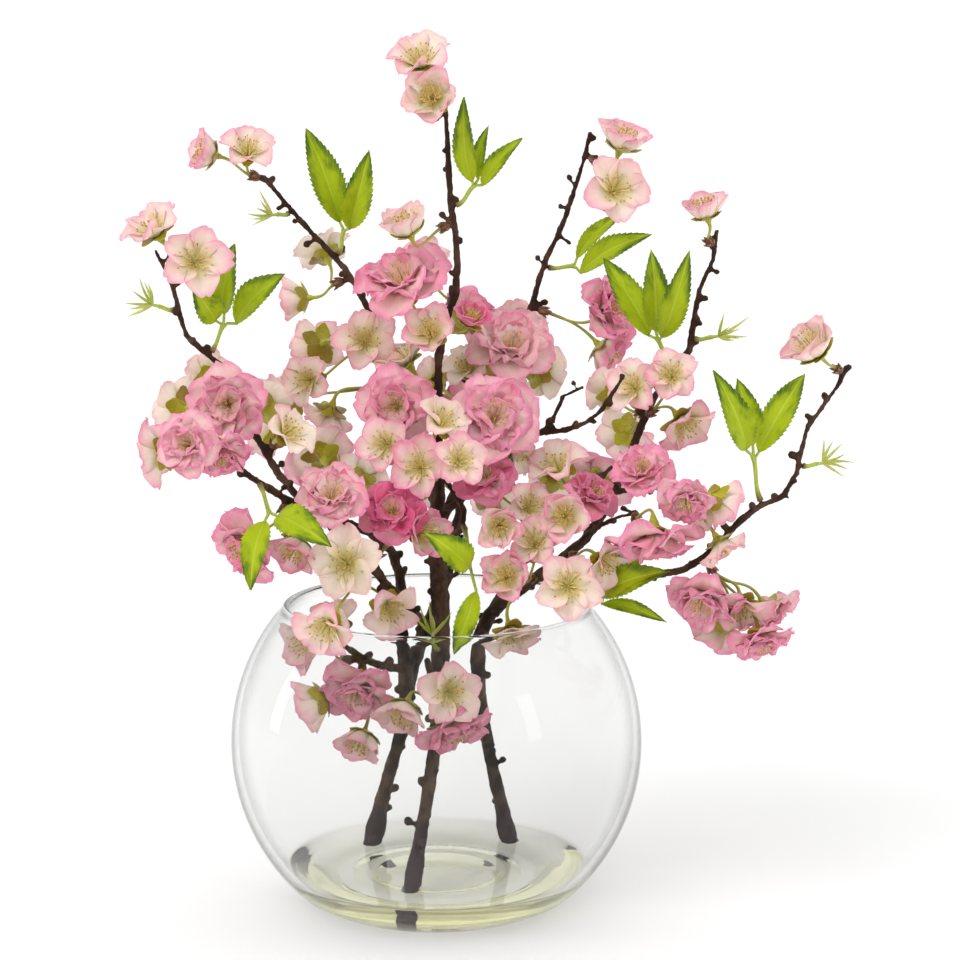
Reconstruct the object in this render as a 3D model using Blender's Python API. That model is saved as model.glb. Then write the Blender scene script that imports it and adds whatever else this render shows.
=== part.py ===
"""Cherry blossom sprigs standing in a round glass bubble vase, set in clear resin water.

Three cut sprigs of dark wood carry short spurs. Every cluster of blossoms, spray of leaves and tuft of young
shoots is a piece of its own, which starts a hair's breadth from the flat end of its spur. The feet of the
sprigs stand in pits of the resin, and the resin fills the bottom of the vase. Lengths in the tables are
millimetres; the origin is the middle of the vase's underside, +Z is up and the front is -Y.
"""

import math

import bmesh
import bpy
from mathutils import Matrix, Vector

MM = 0.001

# Vase: a ball of glass, cut off flat below and open above
BALL_RADIUS = 102.5
BALL_HEIGHT = 84.0
WALL = 3.4
FLOOR = 6.0
BASE_RADIUS = 52.6
BASE_BEVEL = (5.0, 2.4)
FLOOR_RADIUS = 48.0
BASE_CURVE_TOP = 11.0
RIM_HEIGHT = 152.4
LIP_RISE = 1.2
VASE_SIDES = 36
VASE_BANDS = 8

# Resin
CLEARANCE = 0.3
RESIN_TOP = 20.3
RESIN_BANDS = 3

# Wood
STEM_SIDES = 7
STEM_STEP = 16.0
TWIG_SIDES = 5
TWIG_STEP = 12.0
SPUR_RADIUS = 2.0
SPUR_RISE = 3.4
SPUR_REACH = 16.0
SEAT_STEPS = 10
TWIG_SPUR_RADIUS = 1.3
STUB_SPACING = 33.0
STUB_CLEAR = 9.0
STUB_REACH = 1.6
BARE_ABOVE_RESIN = 48.0
GOLDEN_ANGLE = math.radians(137.5)

# Clusters
PEG_RADIUS = 1.7
PEG_LENGTH = 3.2
STALK_RADIUS = 0.75
PETALS = 5
CUP_FLOOR = 2.2
CALYX_LENGTH = 0.16
CALYX_RADIUS = 0.085
ROOM = 1.0
EASING_ROUNDS = 30
BLOSSOM_ROOM = 0.38
WOOD_ROOM = 0.30

# Leaves and shoots: shares of the length with the share of the width there, and radii
LEAF_SECTIONS = ((0.22, 0.78), (0.48, 1.0), (0.76, 0.66))
LEAF_THICKNESS = 0.55
LEAF_FOLD = 0.22
LEAF_ARCH = 0.10
LEAF_STALK_RADIUS = 1.1
SHOOT_SECTIONS = ((0.0, 0.6), (0.4, 1.25), (0.7, 0.95))
TUFT_RADII = (1.2, 1.6)

# Crown: the tables draw it shallow, and above the vase it is spread front to back by DEPTH. What moves back
# also sinks, by LEAN of the way, so the crown stays a fan and not a wall.
DEPTH = 1.4
LEAN = 0.18
CROWN_LOW = 120.0
CROWN_HIGH = 180.0

# Flower forms: rim radius, cup height, heart radius, style height, all as fractions of the flower's width,
# and how deep the notches between petals are as a fraction of the rim radius
FORMS = {
    "open": (0.44, 0.15, 0.060, 0.34, 0.20),
    "cup": (0.39, 0.40, 0.060, 0.46, 0.14),
    "double": (0.43, 0.27, 0.110, 0.40, 0.10),
}

# Routes of the wood: the sprig each branch belongs to, its radii at foot and tip, and its points
ROUTES = {
    "front_stem": (
        "front_sprig",
        (4.4, 3.3, 3.1, 3.7, 4.8, 5.0, 4.8, 4.0, 3.1, 2.8, 2.5, 2.3, 2.1, 1.9, 1.6),
        [
            (-13, -42, 12), (-12, -39, 19), (-7, -29, 46), (-2, -19, 74), (1, -10, 98), (2, -3, 126),
            (2, 3, 155), (0, 7, 184), (1, 9, 218), (1, 10, 248), (2, 12, 283), (10, 14, 309),
            (10, 14, 333), (7, 12, 356), (6, 9, 378), (5, 5, 398),
        ],
    ),
    "upper_left": (
        "front_sprig",
        (3.2, 2.6, 2.2, 1.7),
        [
            (1, 8, 200), (-11, 20, 222), (-21, 28, 248), (-27, 34, 274), (-32, 38, 290),
            (-38, 42, 303), (-46, 44, 316), (-59, 46, 330), (-75, 46, 348), (-87, 44, 363),
        ],
    ),
    "upper_right": (
        "front_sprig",
        (3.2, 2.6, 2.1, 1.5),
        [
            (1, 7, 190), (14, 20, 217), (27, 32, 246), (38, 42, 275), (48, 48, 297), (54, 50, 318),
            (63, 50, 337), (69, 48, 355), (74, 44, 372), (77, 40, 386),
        ],
    ),
    "front_branch": (
        "front_sprig",
        (3.0, 2.3, 1.7),
        [(1, -2, 136), (-8, -16, 150), (-20, -28, 166), (-34, -33, 182), (-48, -35, 197), (-58, -36, 208)],
    ),
    "heart_twig": (
        "front_sprig",
        (2.8, 2.2, 1.6),
        [(0, 6, 180), (9, -4, 189), (15, -10, 198), (10, -13, 211), (2, -15, 222), (-5, -14, 234)],
    ),
    "heart_branch": (
        "front_sprig",
        (2.8, 2.2, 1.6),
        [(0, 7, 196), (14, 3, 207), (26, 2, 221), (34, 3, 238), (40, 5, 254)],
    ),
    "crown_twig": (
        "front_sprig",
        (2.3, 1.9, 1.4),
        [(33, 3, 235), (43, 6, 238), (52, 0, 240), (57, -9, 246), (60, -14, 256), (64, -16, 262), (72, -17, 265)],
    ),
    "crown_low_twig": (
        "front_sprig",
        (2.1, 1.8, 1.3),
        [(50, 2, 239), (58, -6, 241), (68, -15, 245), (78, -24, 252), (85, -29, 263), (91, -32, 273)],
    ),
    "bowl_twig": (
        "front_sprig",
        (2.6, 1.6),
        [(0, -9, 100), (0, -20, 110), (-2, -29, 122), (-4, -34, 133)],
    ),
    "left_stem": (
        "left_sprig",
        (4.6, 4.3, 3.4, 3.2, 3.7, 3.8, 3.4, 3.1, 2.9, 2.8, 2.6, 2.4, 2.2, 2.0, 1.7),
        [
            (-35, 37, 12), (-34, 35, 19), (-27, 28, 50), (-19, 19, 79), (-15, 12, 102), (-17, 6, 134),
            (-17, 1, 160), (-20, -4, 177), (-27, -8, 188), (-44, -16, 198), (-66, -24, 208),
            (-84, -31, 220), (-96, -36, 230), (-106, -40, 238),
        ],
    ),
    "left_arc": (
        "left_sprig",
        (2.6, 2.1, 1.5),
        [
            (-60, -22, 205), (-74, -20, 220), (-86, -14, 238), (-95, -10, 256), (-101, -7, 270),
            (-109, -7, 278), (-119, -9, 286), (-123, -12, 296), (-125, -14, 308), (-130, -17, 322),
            (-134, -20, 332),
        ],
    ),
    "bowl_side_twig": (
        "left_sprig",
        (2.6, 1.5),
        [(-16, 9, 118), (-25, -4, 122), (-35, -14, 128), (-44, -20, 136)],
    ),
    "left_back": (
        "left_sprig",
        (2.8, 2.2, 1.6),
        [(-17, 4, 146), (-30, 16, 168), (-46, 30, 188), (-60, 41, 206), (-72, 50, 222)],
    ),
    "rear_branch": (
        "left_sprig",
        (4.2, 3.0, 2.2, 1.6),
        [
            (-16, 11, 104), (-11, 18, 122), (-4, 23, 140), (5, 28, 160), (10, 37, 188), (14, 46, 214),
            (17, 54, 238), (16, 58, 262),
        ],
    ),
    "right_stem": (
        "right_sprig",
        (4.6, 3.6, 3.1, 3.3, 3.8, 3.7, 3.5, 3.1, 2.8, 2.6, 2.4, 2.2, 2.0, 1.8, 1.5),
        [
            (38, 41, 12), (37, 39, 19), (32, 34, 44), (27, 27, 67), (23, 19, 92), (21, 12, 112),
            (21, 6, 134), (27, 0, 149), (38, -6, 160), (54, -8, 172), (71, -7, 185), (83, -5, 201),
            (89, -5, 214), (98, -6, 236), (102, -6, 248), (108, -2, 259), (116, 5, 266),
            (123, 8, 273), (126, 8, 285), (128, 6, 303), (130, 4, 312), (135, 2, 322), (137, 0, 340),
        ],
    ),
    "far_right": (
        "right_sprig",
        (3.0, 2.4, 2.0, 1.5),
        [
            (50, -8, 169), (78, -14, 171), (108, -20, 173), (124, -22, 177), (137, -22, 188),
            (148, -22, 200), (156, -20, 206), (167, -20, 210), (175, -18, 221), (179, -14, 237),
            (183, -12, 248), (194, -8, 260), (201, -5, 274),
        ],
    ),
    "right_twig": (
        "right_sprig",
        (2.2, 1.5),
        [(88, -5, 211), (97, -14, 214), (107, -21, 216), (124, -26, 217)],
    ),
    "right_low_twig": (
        "right_sprig",
        (2.2, 1.5),
        [(69, -7, 183), (75, -13, 192), (86, -19, 200), (98, -22, 204)],
    ),
    "right_back": (
        "right_sprig",
        (3.0, 2.2, 1.6),
        [(21, 7, 130), (32, 20, 154), (50, 34, 176), (70, 45, 196), (90, 52, 214)],
    ),
}

# Clusters: the branch each springs from, and its flowers as (place, facing, width, form)
CLUSTERS = {
    "top_blossoms": (
        "front_stem",
        [((-7, 0, 422), (-0.2, -0.5, 0.8), 30, "open"), ((-2, -10, 406), (-0.1, -0.9, 0.3), 27, "cup")],
    ),
    "top_side_blossom": (
        "front_stem",
        [((-15, -2, 344), (-0.35, -0.3, 0.85), 26, "cup")],
    ),
    "upper_left_tip_blossoms": (
        "upper_left",
        [
            ((-117, 40, 376), (-0.9, -0.3, 0.3), 24, "cup"),
            ((-94, 34, 377), (0.1, -0.7, 0.7), 26, "open"),
        ],
    ),
    "upper_left_back_blossoms": (
        "upper_left",
        [
            ((-58, 60, 324), (-0.3, 0.5, 0.6), 28, "open"),
            ((-72, 36, 302), (-0.9, 0.2, -0.1), 24, "cup"),
        ],
    ),
    "upper_left_low_blossoms": (
        "upper_left",
        [
            ((-60, 46, 278), (-0.4, 0.8, -0.3), 28, "open"),
            ((-35, 20, 283), (0.1, -0.9, 0.4), 30, "open"),
            ((-64, 14, 264), (-0.4, -0.8, 0.1), 25, "open"),
        ],
    ),
    "upper_left_under_blossoms": (
        "upper_left",
        [
            ((-54, 28, 245), (-0.3, 0.2, -0.9), 26, "open"),
            ((-75, 34, 252), (-0.7, 0.6, -0.2), 28, "open"),
        ],
    ),
    "crown_blossoms": (
        "front_stem",
        [
            ((-17, 4, 317), (-0.25, -0.55, 0.8), 40, "double"),
            ((-3, -6, 292), (-0.1, -0.8, 0.5), 25, "cup"),
            ((18, 0, 298), (0.3, -0.5, 0.8), 19, "cup"),
        ],
    ),
    "crown_front_blossoms": (
        "front_stem",
        [
            ((-20, -12, 252), (-0.1, -0.95, 0.2), 33, "double"),
            ((-16, 12, 275), (-0.5, -0.1, 0.7), 29, "open"),
            ((-23, -20, 239), (-0.2, -0.9, 0.2), 26, "open"),
        ],
    ),
    "right_crown_blossoms": (
        "upper_right",
        [
            ((38, 20, 282), (0.1, -0.7, 0.7), 37, "double"),
            ((16, 22, 270), (-0.3, -0.5, 0.7), 26, "open"),
        ],
    ),
    "right_crown_back_blossoms": (
        "upper_right",
        [
            ((53, 54, 262), (0.5, 0.6, -0.3), 28, "open"),
            ((38, 66, 283), (-0.2, 0.8, 0.5), 30, "double"),
        ],
    ),
    "far_left_tip_blossoms": (
        "left_arc",
        [
            ((-134, -24, 342), (-0.5, -0.4, 0.8), 29, "open"),
            ((-114, -28, 327), (0.15, -0.9, 0.3), 32, "open"),
        ],
    ),
    "left_heart_blossoms": (
        "left_arc",
        [
            ((-100, -26, 258), (0.0, -0.95, 0.2), 32, "double"),
            ((-124, -6, 253), (-0.6, 0.7, -0.1), 28, "open"),
            ((-113, 12, 267), (-0.4, 0.8, 0.4), 24, "open"),
        ],
    ),
    "left_low_blossoms": (
        "left_stem",
        [
            ((-130, -46, 238), (-0.8, 0.3, -0.2), 30, "open"),
            ((-100, -56, 237), (0.2, -0.6, -0.6), 26, "double"),
            ((-115, -66, 245), (-0.2, -0.9, 0.3), 26, "double"),
        ],
    ),
    "left_inner_blossoms": (
        "left_arc",
        [
            ((-70, -32, 245), (0.6, -0.4, 0.5), 26, "open"),
            ((-84, 8, 252), (0.4, 0.8, 0.2), 26, "open"),
        ],
    ),
    "left_front_blossoms": (
        "left_stem",
        [
            ((-49, -40, 217), (0.1, -0.7, 0.6), 30, "double"),
            ((-56, -4, 230), (-0.2, 0.7, 0.4), 28, "open"),
        ],
    ),
    "left_down_blossoms": (
        "left_stem",
        [
            ((-92, -44, 191), (-0.6, -0.6, -0.4), 33, "double"),
            ((-68, -40, 188), (-0.4, -0.6, -0.6), 26, "cup"),
        ],
    ),
    "front_open_blossoms": (
        "front_branch",
        [
            ((-42, -46, 184), (-0.1, -0.95, 0.2), 33, "open"),
            ((-22, -40, 160), (0.3, -0.8, -0.4), 28, "open"),
            ((-51, -70, 158), (-0.3, -0.8, -0.4), 28, "open"),
        ],
    ),
    "bowl_side_blossoms": (
        "bowl_side_twig",
        [
            ((-66, -4, 134), (-0.7, -0.5, -0.2), 24, "cup"),
            ((-60, -34, 111), (-0.8, 0.1, -0.4), 24, "cup"),
            ((-50, -26, 148), (-0.4, -0.4, 0.6), 25, "open"),
        ],
    ),
    "bowl_left_blossoms": (
        "bowl_side_twig",
        [
            ((-38, -38, 117), (-0.1, -0.8, -0.5), 28, "double"),
            ((-37, -34, 91), (-0.3, -0.6, -0.7), 21, "cup"),
        ],
    ),
    "bowl_front_blossoms": (
        "bowl_twig",
        [
            ((-16, -46, 108), (-0.3, -0.5, -0.7), 24, "cup"),
            ((7, -48, 120), (0.2, -0.9, 0.1), 25, "open"),
            ((9, -38, 98), (0.3, -0.5, -0.8), 28, "double"),
        ],
    ),
    "heart_left_blossoms": (
        "front_branch",
        [
            ((-20, -32, 207), (-0.1, -0.8, 0.4), 28, "double"),
            ((-4, -32, 196), (0.5, -0.7, 0.1), 24, "cup"),
        ],
    ),
    "heart_blossoms": (
        "heart_twig",
        [
            ((-8, -28, 228), (-0.1, -0.9, 0.3), 28, "open"),
            ((4, -24, 249), (0.4, -0.5, 0.7), 26, "open"),
            ((12, -42, 233), (0.2, -0.8, 0.3), 25, "open"),
        ],
    ),
    "heart_right_blossoms": (
        "heart_branch",
        [
            ((30, -16, 250), (0.1, -0.9, 0.4), 38, "double"),
            ((42, -8, 232), (0.7, -0.4, 0.1), 26, "open"),
        ],
    ),
    "heart_low_blossoms": (
        "heart_branch",
        [
            ((24, -18, 222), (-0.1, -0.8, 0.4), 27, "double"),
            ((31, -38, 200), (0.0, -0.98, 0.1), 22, "cup"),
            ((46, -18, 206), (0.3, -0.8, 0.3), 24, "open"),
        ],
    ),
    "right_cup_blossoms": (
        "right_stem",
        [
            ((62, -36, 205), (-0.1, -0.95, 0.2), 25, "cup"),
            ((57, -10, 226), (-0.3, -0.4, 0.8), 28, "open"),
            ((77, -20, 213), (0.4, -0.5, 0.7), 24, "double"),
        ],
    ),
    "low_blossoms": (
        "right_stem",
        [
            ((34, -38, 176), (-0.1, -0.9, 0.3), 25, "cup"),
            ((37, -34, 146), (0.2, -0.6, -0.7), 27, "open"),
            ((48, -32, 191), (-0.1, -0.8, 0.5), 26, "open"),
        ],
    ),
    "right_open_blossoms": (
        "right_stem",
        [
            ((64, -42, 172), (0.0, -0.95, 0.2), 31, "open"),
            ((82, -34, 182), (0.5, -0.6, -0.3), 26, "open"),
        ],
    ),
    "right_wide_blossom": (
        "right_low_twig",
        [((106, -42, 192), (0.1, -0.3, -0.9), 37, "double")],
    ),
    "right_top_blossoms": (
        "upper_right",
        [
            ((94, 36, 384), (0.3, -0.2, 0.9), 27, "cup"),
            ((89, 26, 358), (0.2, -0.9, 0.3), 32, "open"),
        ],
    ),
    "right_pink_blossoms": (
        "upper_right",
        [
            ((88, 34, 296), (0.7, -0.5, 0.4), 32, "double"),
            ((87, 40, 273), (0.6, -0.3, -0.6), 26, "cup"),
        ],
    ),
    "tall_right_blossom": (
        "right_stem",
        [((130, -6, 352), (-0.3, -0.2, 0.9), 23, "cup")],
    ),
    "elbow_right_blossoms": (
        "right_stem",
        [
            ((114, -14, 270), (-0.1, -0.9, 0.4), 25, "open"),
            ((121, -12, 246), (0.5, -0.6, -0.6), 30, "open"),
            ((97, -10, 264), (-0.3, -0.8, 0.4), 26, "open"),
        ],
    ),
    "elbow_back_blossoms": (
        "right_stem",
        [
            ((87, 14, 258), (-0.4, 0.7, 0.4), 26, "open"),
            ((94, 14, 238), (-0.3, 0.8, -0.3), 26, "open"),
        ],
    ),
    "right_twig_blossoms": (
        "right_twig",
        [
            ((100, -34, 228), (-0.2, -0.6, 0.7), 26, "double"),
            ((134, -38, 212), (0.6, 0.3, -0.6), 28, "open"),
            ((137, -42, 192), (0.5, -0.3, -0.8), 24, "open"),
            ((119, -50, 214), (-0.1, -0.7, -0.5), 24, "double"),
        ],
    ),
    "far_right_blossom": (
        "far_right",
        [((180, -22, 287), (-0.6, -0.4, 0.7), 28, "cup")],
    ),
    "droop_blossoms": (
        "far_right",
        [
            ((129, -38, 163), (-0.3, -0.7, -0.6), 30, "double"),
            ((150, -32, 157), (0.1, -0.6, -0.7), 25, "open"),
            ((164, -14, 152), (0.5, 0.0, -0.8), 25, "double"),
            ((140, -14, 144), (-0.3, 0.2, -0.9), 26, "open"),
            ((157, -36, 145), (0.2, -0.5, -0.8), 25, "double"),
        ],
    ),
    "rear_left_blossoms": (
        "left_back",
        [
            ((-62, 68, 214), (-0.2, 0.95, 0.1), 32, "double"),
            ((-86, 64, 228), (-0.7, 0.6, 0.3), 28, "open"),
            ((-40, 58, 206), (0.3, 0.8, 0.4), 28, "open"),
        ],
    ),
    "rear_blossoms": (
        "rear_branch",
        [
            ((18, 72, 240), (0.1, 0.95, 0.2), 33, "double"),
            ((-2, 68, 256), (-0.6, 0.6, 0.5), 28, "open"),
            ((32, 64, 262), (0.4, 0.6, 0.6), 28, "open"),
        ],
    ),
    "rear_crown_blossoms": (
        "front_stem",
        [
            ((-6, 36, 318), (-0.3, 0.8, 0.5), 30, "open"),
            ((18, 38, 293), (0.4, 0.8, 0.3), 28, "double"),
        ],
    ),
    "rear_low_blossoms": (
        "rear_branch",
        [
            ((-6, 58, 206), (-0.5, 0.8, -0.1), 30, "open"),
            ((28, 58, 198), (0.4, 0.8, -0.2), 28, "cup"),
        ],
    ),
    "rear_right_blossoms": (
        "right_back",
        [
            ((81, 72, 202), (0.1, 0.9, 0.3), 32, "double"),
            ((106, 58, 217), (0.9, 0.3, 0.2), 28, "open"),
            ((62, 66, 206), (-0.3, 0.9, 0.1), 28, "open"),
        ],
    ),
}

# Sprays: the branch, where the stalk forks, the side the blades face, and each blade as (base, tip, width)
SPRAYS = {
    "upper_left_leaves": (
        "upper_left",
        (-46, 45, 329),
        (0.1, -0.9, 0.3),
        [((-49, 46, 340), (-66, 50, 387), 16), ((-44, 44, 337), (-34, 40, 376), 14)],
    ),
    "left_leaves": (
        "left_arc",
        (-103, -5, 289),
        (-0.2, -0.8, 0.6),
        [
            ((-107, -6, 296), (-117, -12, 313), 13),
            ((-103, -4, 299), (-98, -4, 333), 15),
            ((-97, -2, 294), (-74, 4, 318), 15),
        ],
    ),
    "top_leaves": (
        "front_stem",
        (14, 12, 352),
        (-0.3, -0.8, 0.3),
        [
            ((18, 10, 363), (14, 6, 404), 11),
            ((21, 12, 364), (25, 14, 390), 7),
            ((23, 10, 361), (42, 8, 384), 9),
        ],
    ),
    "upper_right_leaves": (
        "upper_right",
        (62, 51, 315),
        (-0.3, -0.8, 0.6),
        [((71, 54, 321), (95, 60, 344), 9), ((73, 50, 314), (109, 48, 333), 13)],
    ),
    "right_leaves": (
        "right_stem",
        (108, 6, 277),
        (0.1, -0.9, 0.2),
        [
            ((105, 8, 287), (83, 14, 325), 14),
            ((108, 5, 290), (105, 0, 330), 14),
            ((111, 3, 287), (123, -8, 331), 13),
        ],
    ),
    "far_right_leaves": (
        "far_right",
        (152, -21, 223),
        (0.0, -0.8, 0.5),
        [
            ((150, -22, 235), (133, -34, 275), 14),
            ((154, -19, 237), (146, -18, 269), 13),
            ((157, -18, 233), (180, -6, 270), 14),
        ],
    ),
    "left_front_leaves": (
        "left_stem",
        (-78, -46, 212),
        (-0.2, -0.8, 0.6),
        [((-74, -52, 208), (-48, -66, 196), 15), ((-80, -54, 206), (-86, -68, 176), 13)],
    ),
    "heart_leaves": (
        "heart_twig",
        (21, -30, 177),
        (0.1, -0.9, 0.4),
        [((16, -36, 180), (-4, -44, 198), 15), ((20, -36, 168), (9, -44, 138), 10)],
    ),
    "right_low_leaves": (
        "far_right",
        (76, -24, 163),
        (0.2, -0.8, 0.6),
        [
            ((82, -27, 164), (112, -36, 178), 15),
            ((81, -28, 160), (112, -36, 152), 7),
            ((83, -21, 168), (106, -22, 188), 12),
        ],
    ),
}

# Tufts: the branch, where the shoots part, and the shoots' tips
TUFTS = {
    "left_shoots": (
        "left_arc",
        (-133, -13, 301),
        [(-149, -20, 306), (-142, -18, 318), (-140, -4, 314), (-150, -6, 298)],
    ),
    "upper_left_shoots": (
        "upper_left",
        (-81, 43, 339),
        [(-95, 38, 345), (-90, 50, 356), (-88, 34, 352), (-94, 54, 338)],
    ),
    "right_shoots": (
        "right_stem",
        (134, 4, 284),
        [(154, 4, 297), (141, -2, 299), (146, 12, 284), (152, -6, 288)],
    ),
    "far_right_shoots": (
        "far_right",
        (184, -16, 224),
        [(202, -24, 229), (198, -16, 237), (190, -8, 238), (200, -8, 219)],
    ),
    "bowl_shoots": (
        "front_stem",
        (-2, -16, 134),
        [(-12, -28, 156), (-3, -30, 162), (8, -28, 156), (0, -34, 148)],
    ),
}


def clear_scene():
    for old in list(bpy.data.objects):
        bpy.data.objects.remove(old, do_unlink=True)


def material(name, colour, roughness, metallic=0.0, alpha=1.0):
    made = bpy.data.materials.new(name)
    made.use_nodes = True
    shader = made.node_tree.nodes["Principled BSDF"]
    shader.inputs["Base Color"].default_value = (*colour, 1.0)
    shader.inputs["Roughness"].default_value = roughness
    shader.inputs["Metallic"].default_value = metallic
    shader.inputs["Alpha"].default_value = alpha
    return made


def add_object(name, mesh):
    made = bpy.data.objects.new(name, mesh)
    bpy.context.scene.collection.objects.link(made)
    return made


def mesh_of(shape, name="piece"):
    bmesh.ops.recalc_face_normals(shape, faces=shape.faces)
    mesh = bpy.data.meshes.new(name)
    shape.to_mesh(mesh)
    shape.free()
    return mesh


def combine(body, others, operation):
    """Joins other objects to a body, or cuts them out of it, with exact Booleans, and removes them."""
    for other in others:
        step = body.modifiers.new("step", "BOOLEAN")
        step.operation = operation
        step.object = other
        graph = bpy.context.evaluated_depsgraph_get()
        changed = bpy.data.meshes.new_from_object(body.evaluated_get(graph))
        body.modifiers.remove(step)
        body.data = changed
        bpy.data.objects.remove(other, do_unlink=True)
    return body


def finished(body, name, finish):
    body.name = name
    body.data.name = name
    body.data.materials.clear()
    body.data.materials.append(finish)
    body.data.shade_smooth()
    body.data.set_sharp_from_angle(angle=math.radians(40))
    return body


# Curves


def deepened(place):
    """A place from the tables, moved to where the spread of the crown puts it."""
    x, y, z = place
    share = min(1.0, max(0.0, (z - CROWN_LOW) / (CROWN_HIGH - CROWN_LOW)))
    more = y * (DEPTH - 1.0) * share
    return Vector((x, y + more, z - more * LEAN))


def curve_point(points, t):
    """A point of the Catmull-Rom curve through the points, at t from 0 to 1."""
    place = t * (len(points) - 1)
    i = min(int(place), len(points) - 2)
    f = place - i
    b, c = points[i], points[i + 1]
    a = points[i - 1] if i else b * 2 - c
    d = points[i + 2] if i + 2 < len(points) else c * 2 - b
    return 0.5 * (2 * b + (c - a) * f + (2 * a - 5 * b + 4 * c - d) * f**2 + (3 * (b - c) + d - a) * f**3)


def spread(values, t):
    """The value at t from 0 to 1 along evenly spaced values."""
    place = t * (len(values) - 1)
    i = min(int(place), len(values) - 2)
    return values[i] + (values[i + 1] - values[i]) * (place - i)


def length_of(points):
    return sum((b - a).length for a, b in zip(points, points[1:]))


def sampled(points, spacing):
    """Points of the smooth curve, about evenly spaced, with how far along it each one lies."""
    fine = [curve_point(points, k / (20 * len(points))) for k in range(20 * len(points) + 1)]
    total = length_of(fine)
    count = max(2, round(total / spacing))
    kept, shares, run = [fine[0]], [0.0], 0.0
    for a, b in zip(fine, fine[1:]):
        run += (b - a).length
        if run >= total * len(kept) / count - 1e-6:
            kept.append(b)
            shares.append(run / total)
    return kept, shares


def tube(points, radii, sides):
    """A closed tube along the points, with a radius at each."""
    shape = bmesh.new()
    rings = []
    tangent = (points[1] - points[0]).normalized()
    across = tangent.orthogonal().normalized()
    for i, (point, radius) in enumerate(zip(points, radii)):
        after = points[min(i + 1, len(points) - 1)]
        before = points[max(i - 1, 0)]
        turned = (after - before).normalized()
        across = (across - turned * across.dot(turned)).normalized()
        other = turned.cross(across)
        ring = []
        for k in range(sides):
            angle = math.tau * k / sides
            place = point + (across * math.cos(angle) + other * math.sin(angle)) * radius
            ring.append(shape.verts.new(place * MM))
        rings.append(ring)
    for a, b in zip(rings, rings[1:]):
        for k in range(sides):
            shape.faces.new((a[k], a[(k + 1) % sides], b[(k + 1) % sides], b[k]))
    shape.faces.new(reversed(rings[0]))
    shape.faces.new(rings[-1])
    bmesh.ops.triangulate(shape, faces=shape.faces)
    return add_object("piece", mesh_of(shape))


# Glass and resin


def ball_profile(radius, low, high, bands):
    """Points up the ball's side, from one height to another."""
    start = math.asin((low - BALL_HEIGHT) / radius)
    stop = math.asin((high - BALL_HEIGHT) / radius)
    angles = [start + (stop - start) * k / bands for k in range(bands + 1)]
    return [(radius * math.cos(a), BALL_HEIGHT + radius * math.sin(a)) for a in angles]


def lathe(profile):
    """A closed solid turned about the Z axis from a profile of (radius, height) that starts and ends on it."""
    shape = bmesh.new()
    verts = [shape.verts.new((r * MM, 0, z * MM)) for r, z in profile]
    edges = [shape.edges.new(pair) for pair in zip(verts, verts[1:])]
    bmesh.ops.spin(
        shape,
        geom=verts + edges,
        axis=(0, 0, 1),
        cent=(0, 0, 0),
        steps=VASE_SIDES,
        angle=math.tau,
        use_merge=True,
    )
    bmesh.ops.remove_doubles(shape, verts=shape.verts, dist=0.01 * MM)
    return mesh_of(shape)


def inner_profile(gap):
    """The inside of the vase from the middle of its floor up, drawn in by a gap."""
    radius = BALL_RADIUS - WALL - gap
    side = ball_profile(radius, BASE_CURVE_TOP + gap, RESIN_TOP, RESIN_BANDS)
    return [(0, FLOOR + gap), (FLOOR_RADIUS, FLOOR + gap)] + side


def add_vase(finish):
    wide, high = BASE_BEVEL
    outside = ball_profile(BALL_RADIUS, BASE_CURVE_TOP - 3, RIM_HEIGHT, VASE_BANDS)
    inside = ball_profile(BALL_RADIUS - WALL, RESIN_TOP, RIM_HEIGHT, VASE_BANDS - 1)
    lip = [(outside[-1][0] - WALL * 0.5, RIM_HEIGHT + LIP_RISE)]
    down = list(reversed(inside)) + list(reversed(inner_profile(0)[:-1]))
    profile = [(0, 0), (BASE_RADIUS, 0), (BASE_RADIUS + wide, high)] + outside + lip + down
    body = add_object("vase", lathe(profile))
    return finished(body, "vase", finish)


def add_resin(finish, feet):
    profile = inner_profile(CLEARANCE) + [(0, RESIN_TOP)]
    body = add_object("resin_water", lathe(profile))
    pits = []
    for points, radii in feet:
        down = (points[0] - points[1]).normalized()
        wall = [r + CLEARANCE for r in radii]
        pits.append(tube([points[0] + down * CLEARANCE] + points[1:], wall, STEM_SIDES))
    combine(body, pits, "DIFFERENCE")
    return finished(body, "resin_water", finish)


# Wood


class Branch:
    """A branch of a sprig, sampled along its route."""

    def __init__(self, sprig, radii, points):
        self.sprig = sprig
        thick = max(radii) > 4
        self.sides = STEM_SIDES if thick else TWIG_SIDES
        spacing = STEM_STEP if thick else TWIG_STEP
        self.points, self.shares = sampled([deepened(p) for p in points], spacing)
        self.radii = [spread(radii, s) for s in self.shares]
        self.spurs = []

    def seat(self, place, reach):
        """Where the branch comes nearest a place, or further back if it is nearer there than the reach asks."""
        spots = []
        for i, (a, b) in enumerate(zip(self.points, self.points[1:])):
            for k in range(SEAT_STEPS):
                f = k / SEAT_STEPS
                radius = self.radii[i] + (self.radii[i + 1] - self.radii[i]) * f
                spots.append((a.lerp(b, f), radius, (b - a).normalized()))
        best = min(range(len(spots)), key=lambda n: (place - spots[n][0]).length)
        while best > 2 and (place - spots[best][0]).length < reach:
            best -= 1
        return spots[best]

    def spur_towards(self, place, rise, radius, reach=0.0):
        """Plans a spur on the side nearest a place, and gives where its flat end is and which way it points."""
        foot, thickness, run = self.seat(place, reach)
        way = place - foot
        side = (way - run * way.dot(run) * 0.6).normalized()
        end = foot + side * (thickness + rise)
        self.spurs.append((foot, end, radius))
        return end, side


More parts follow.
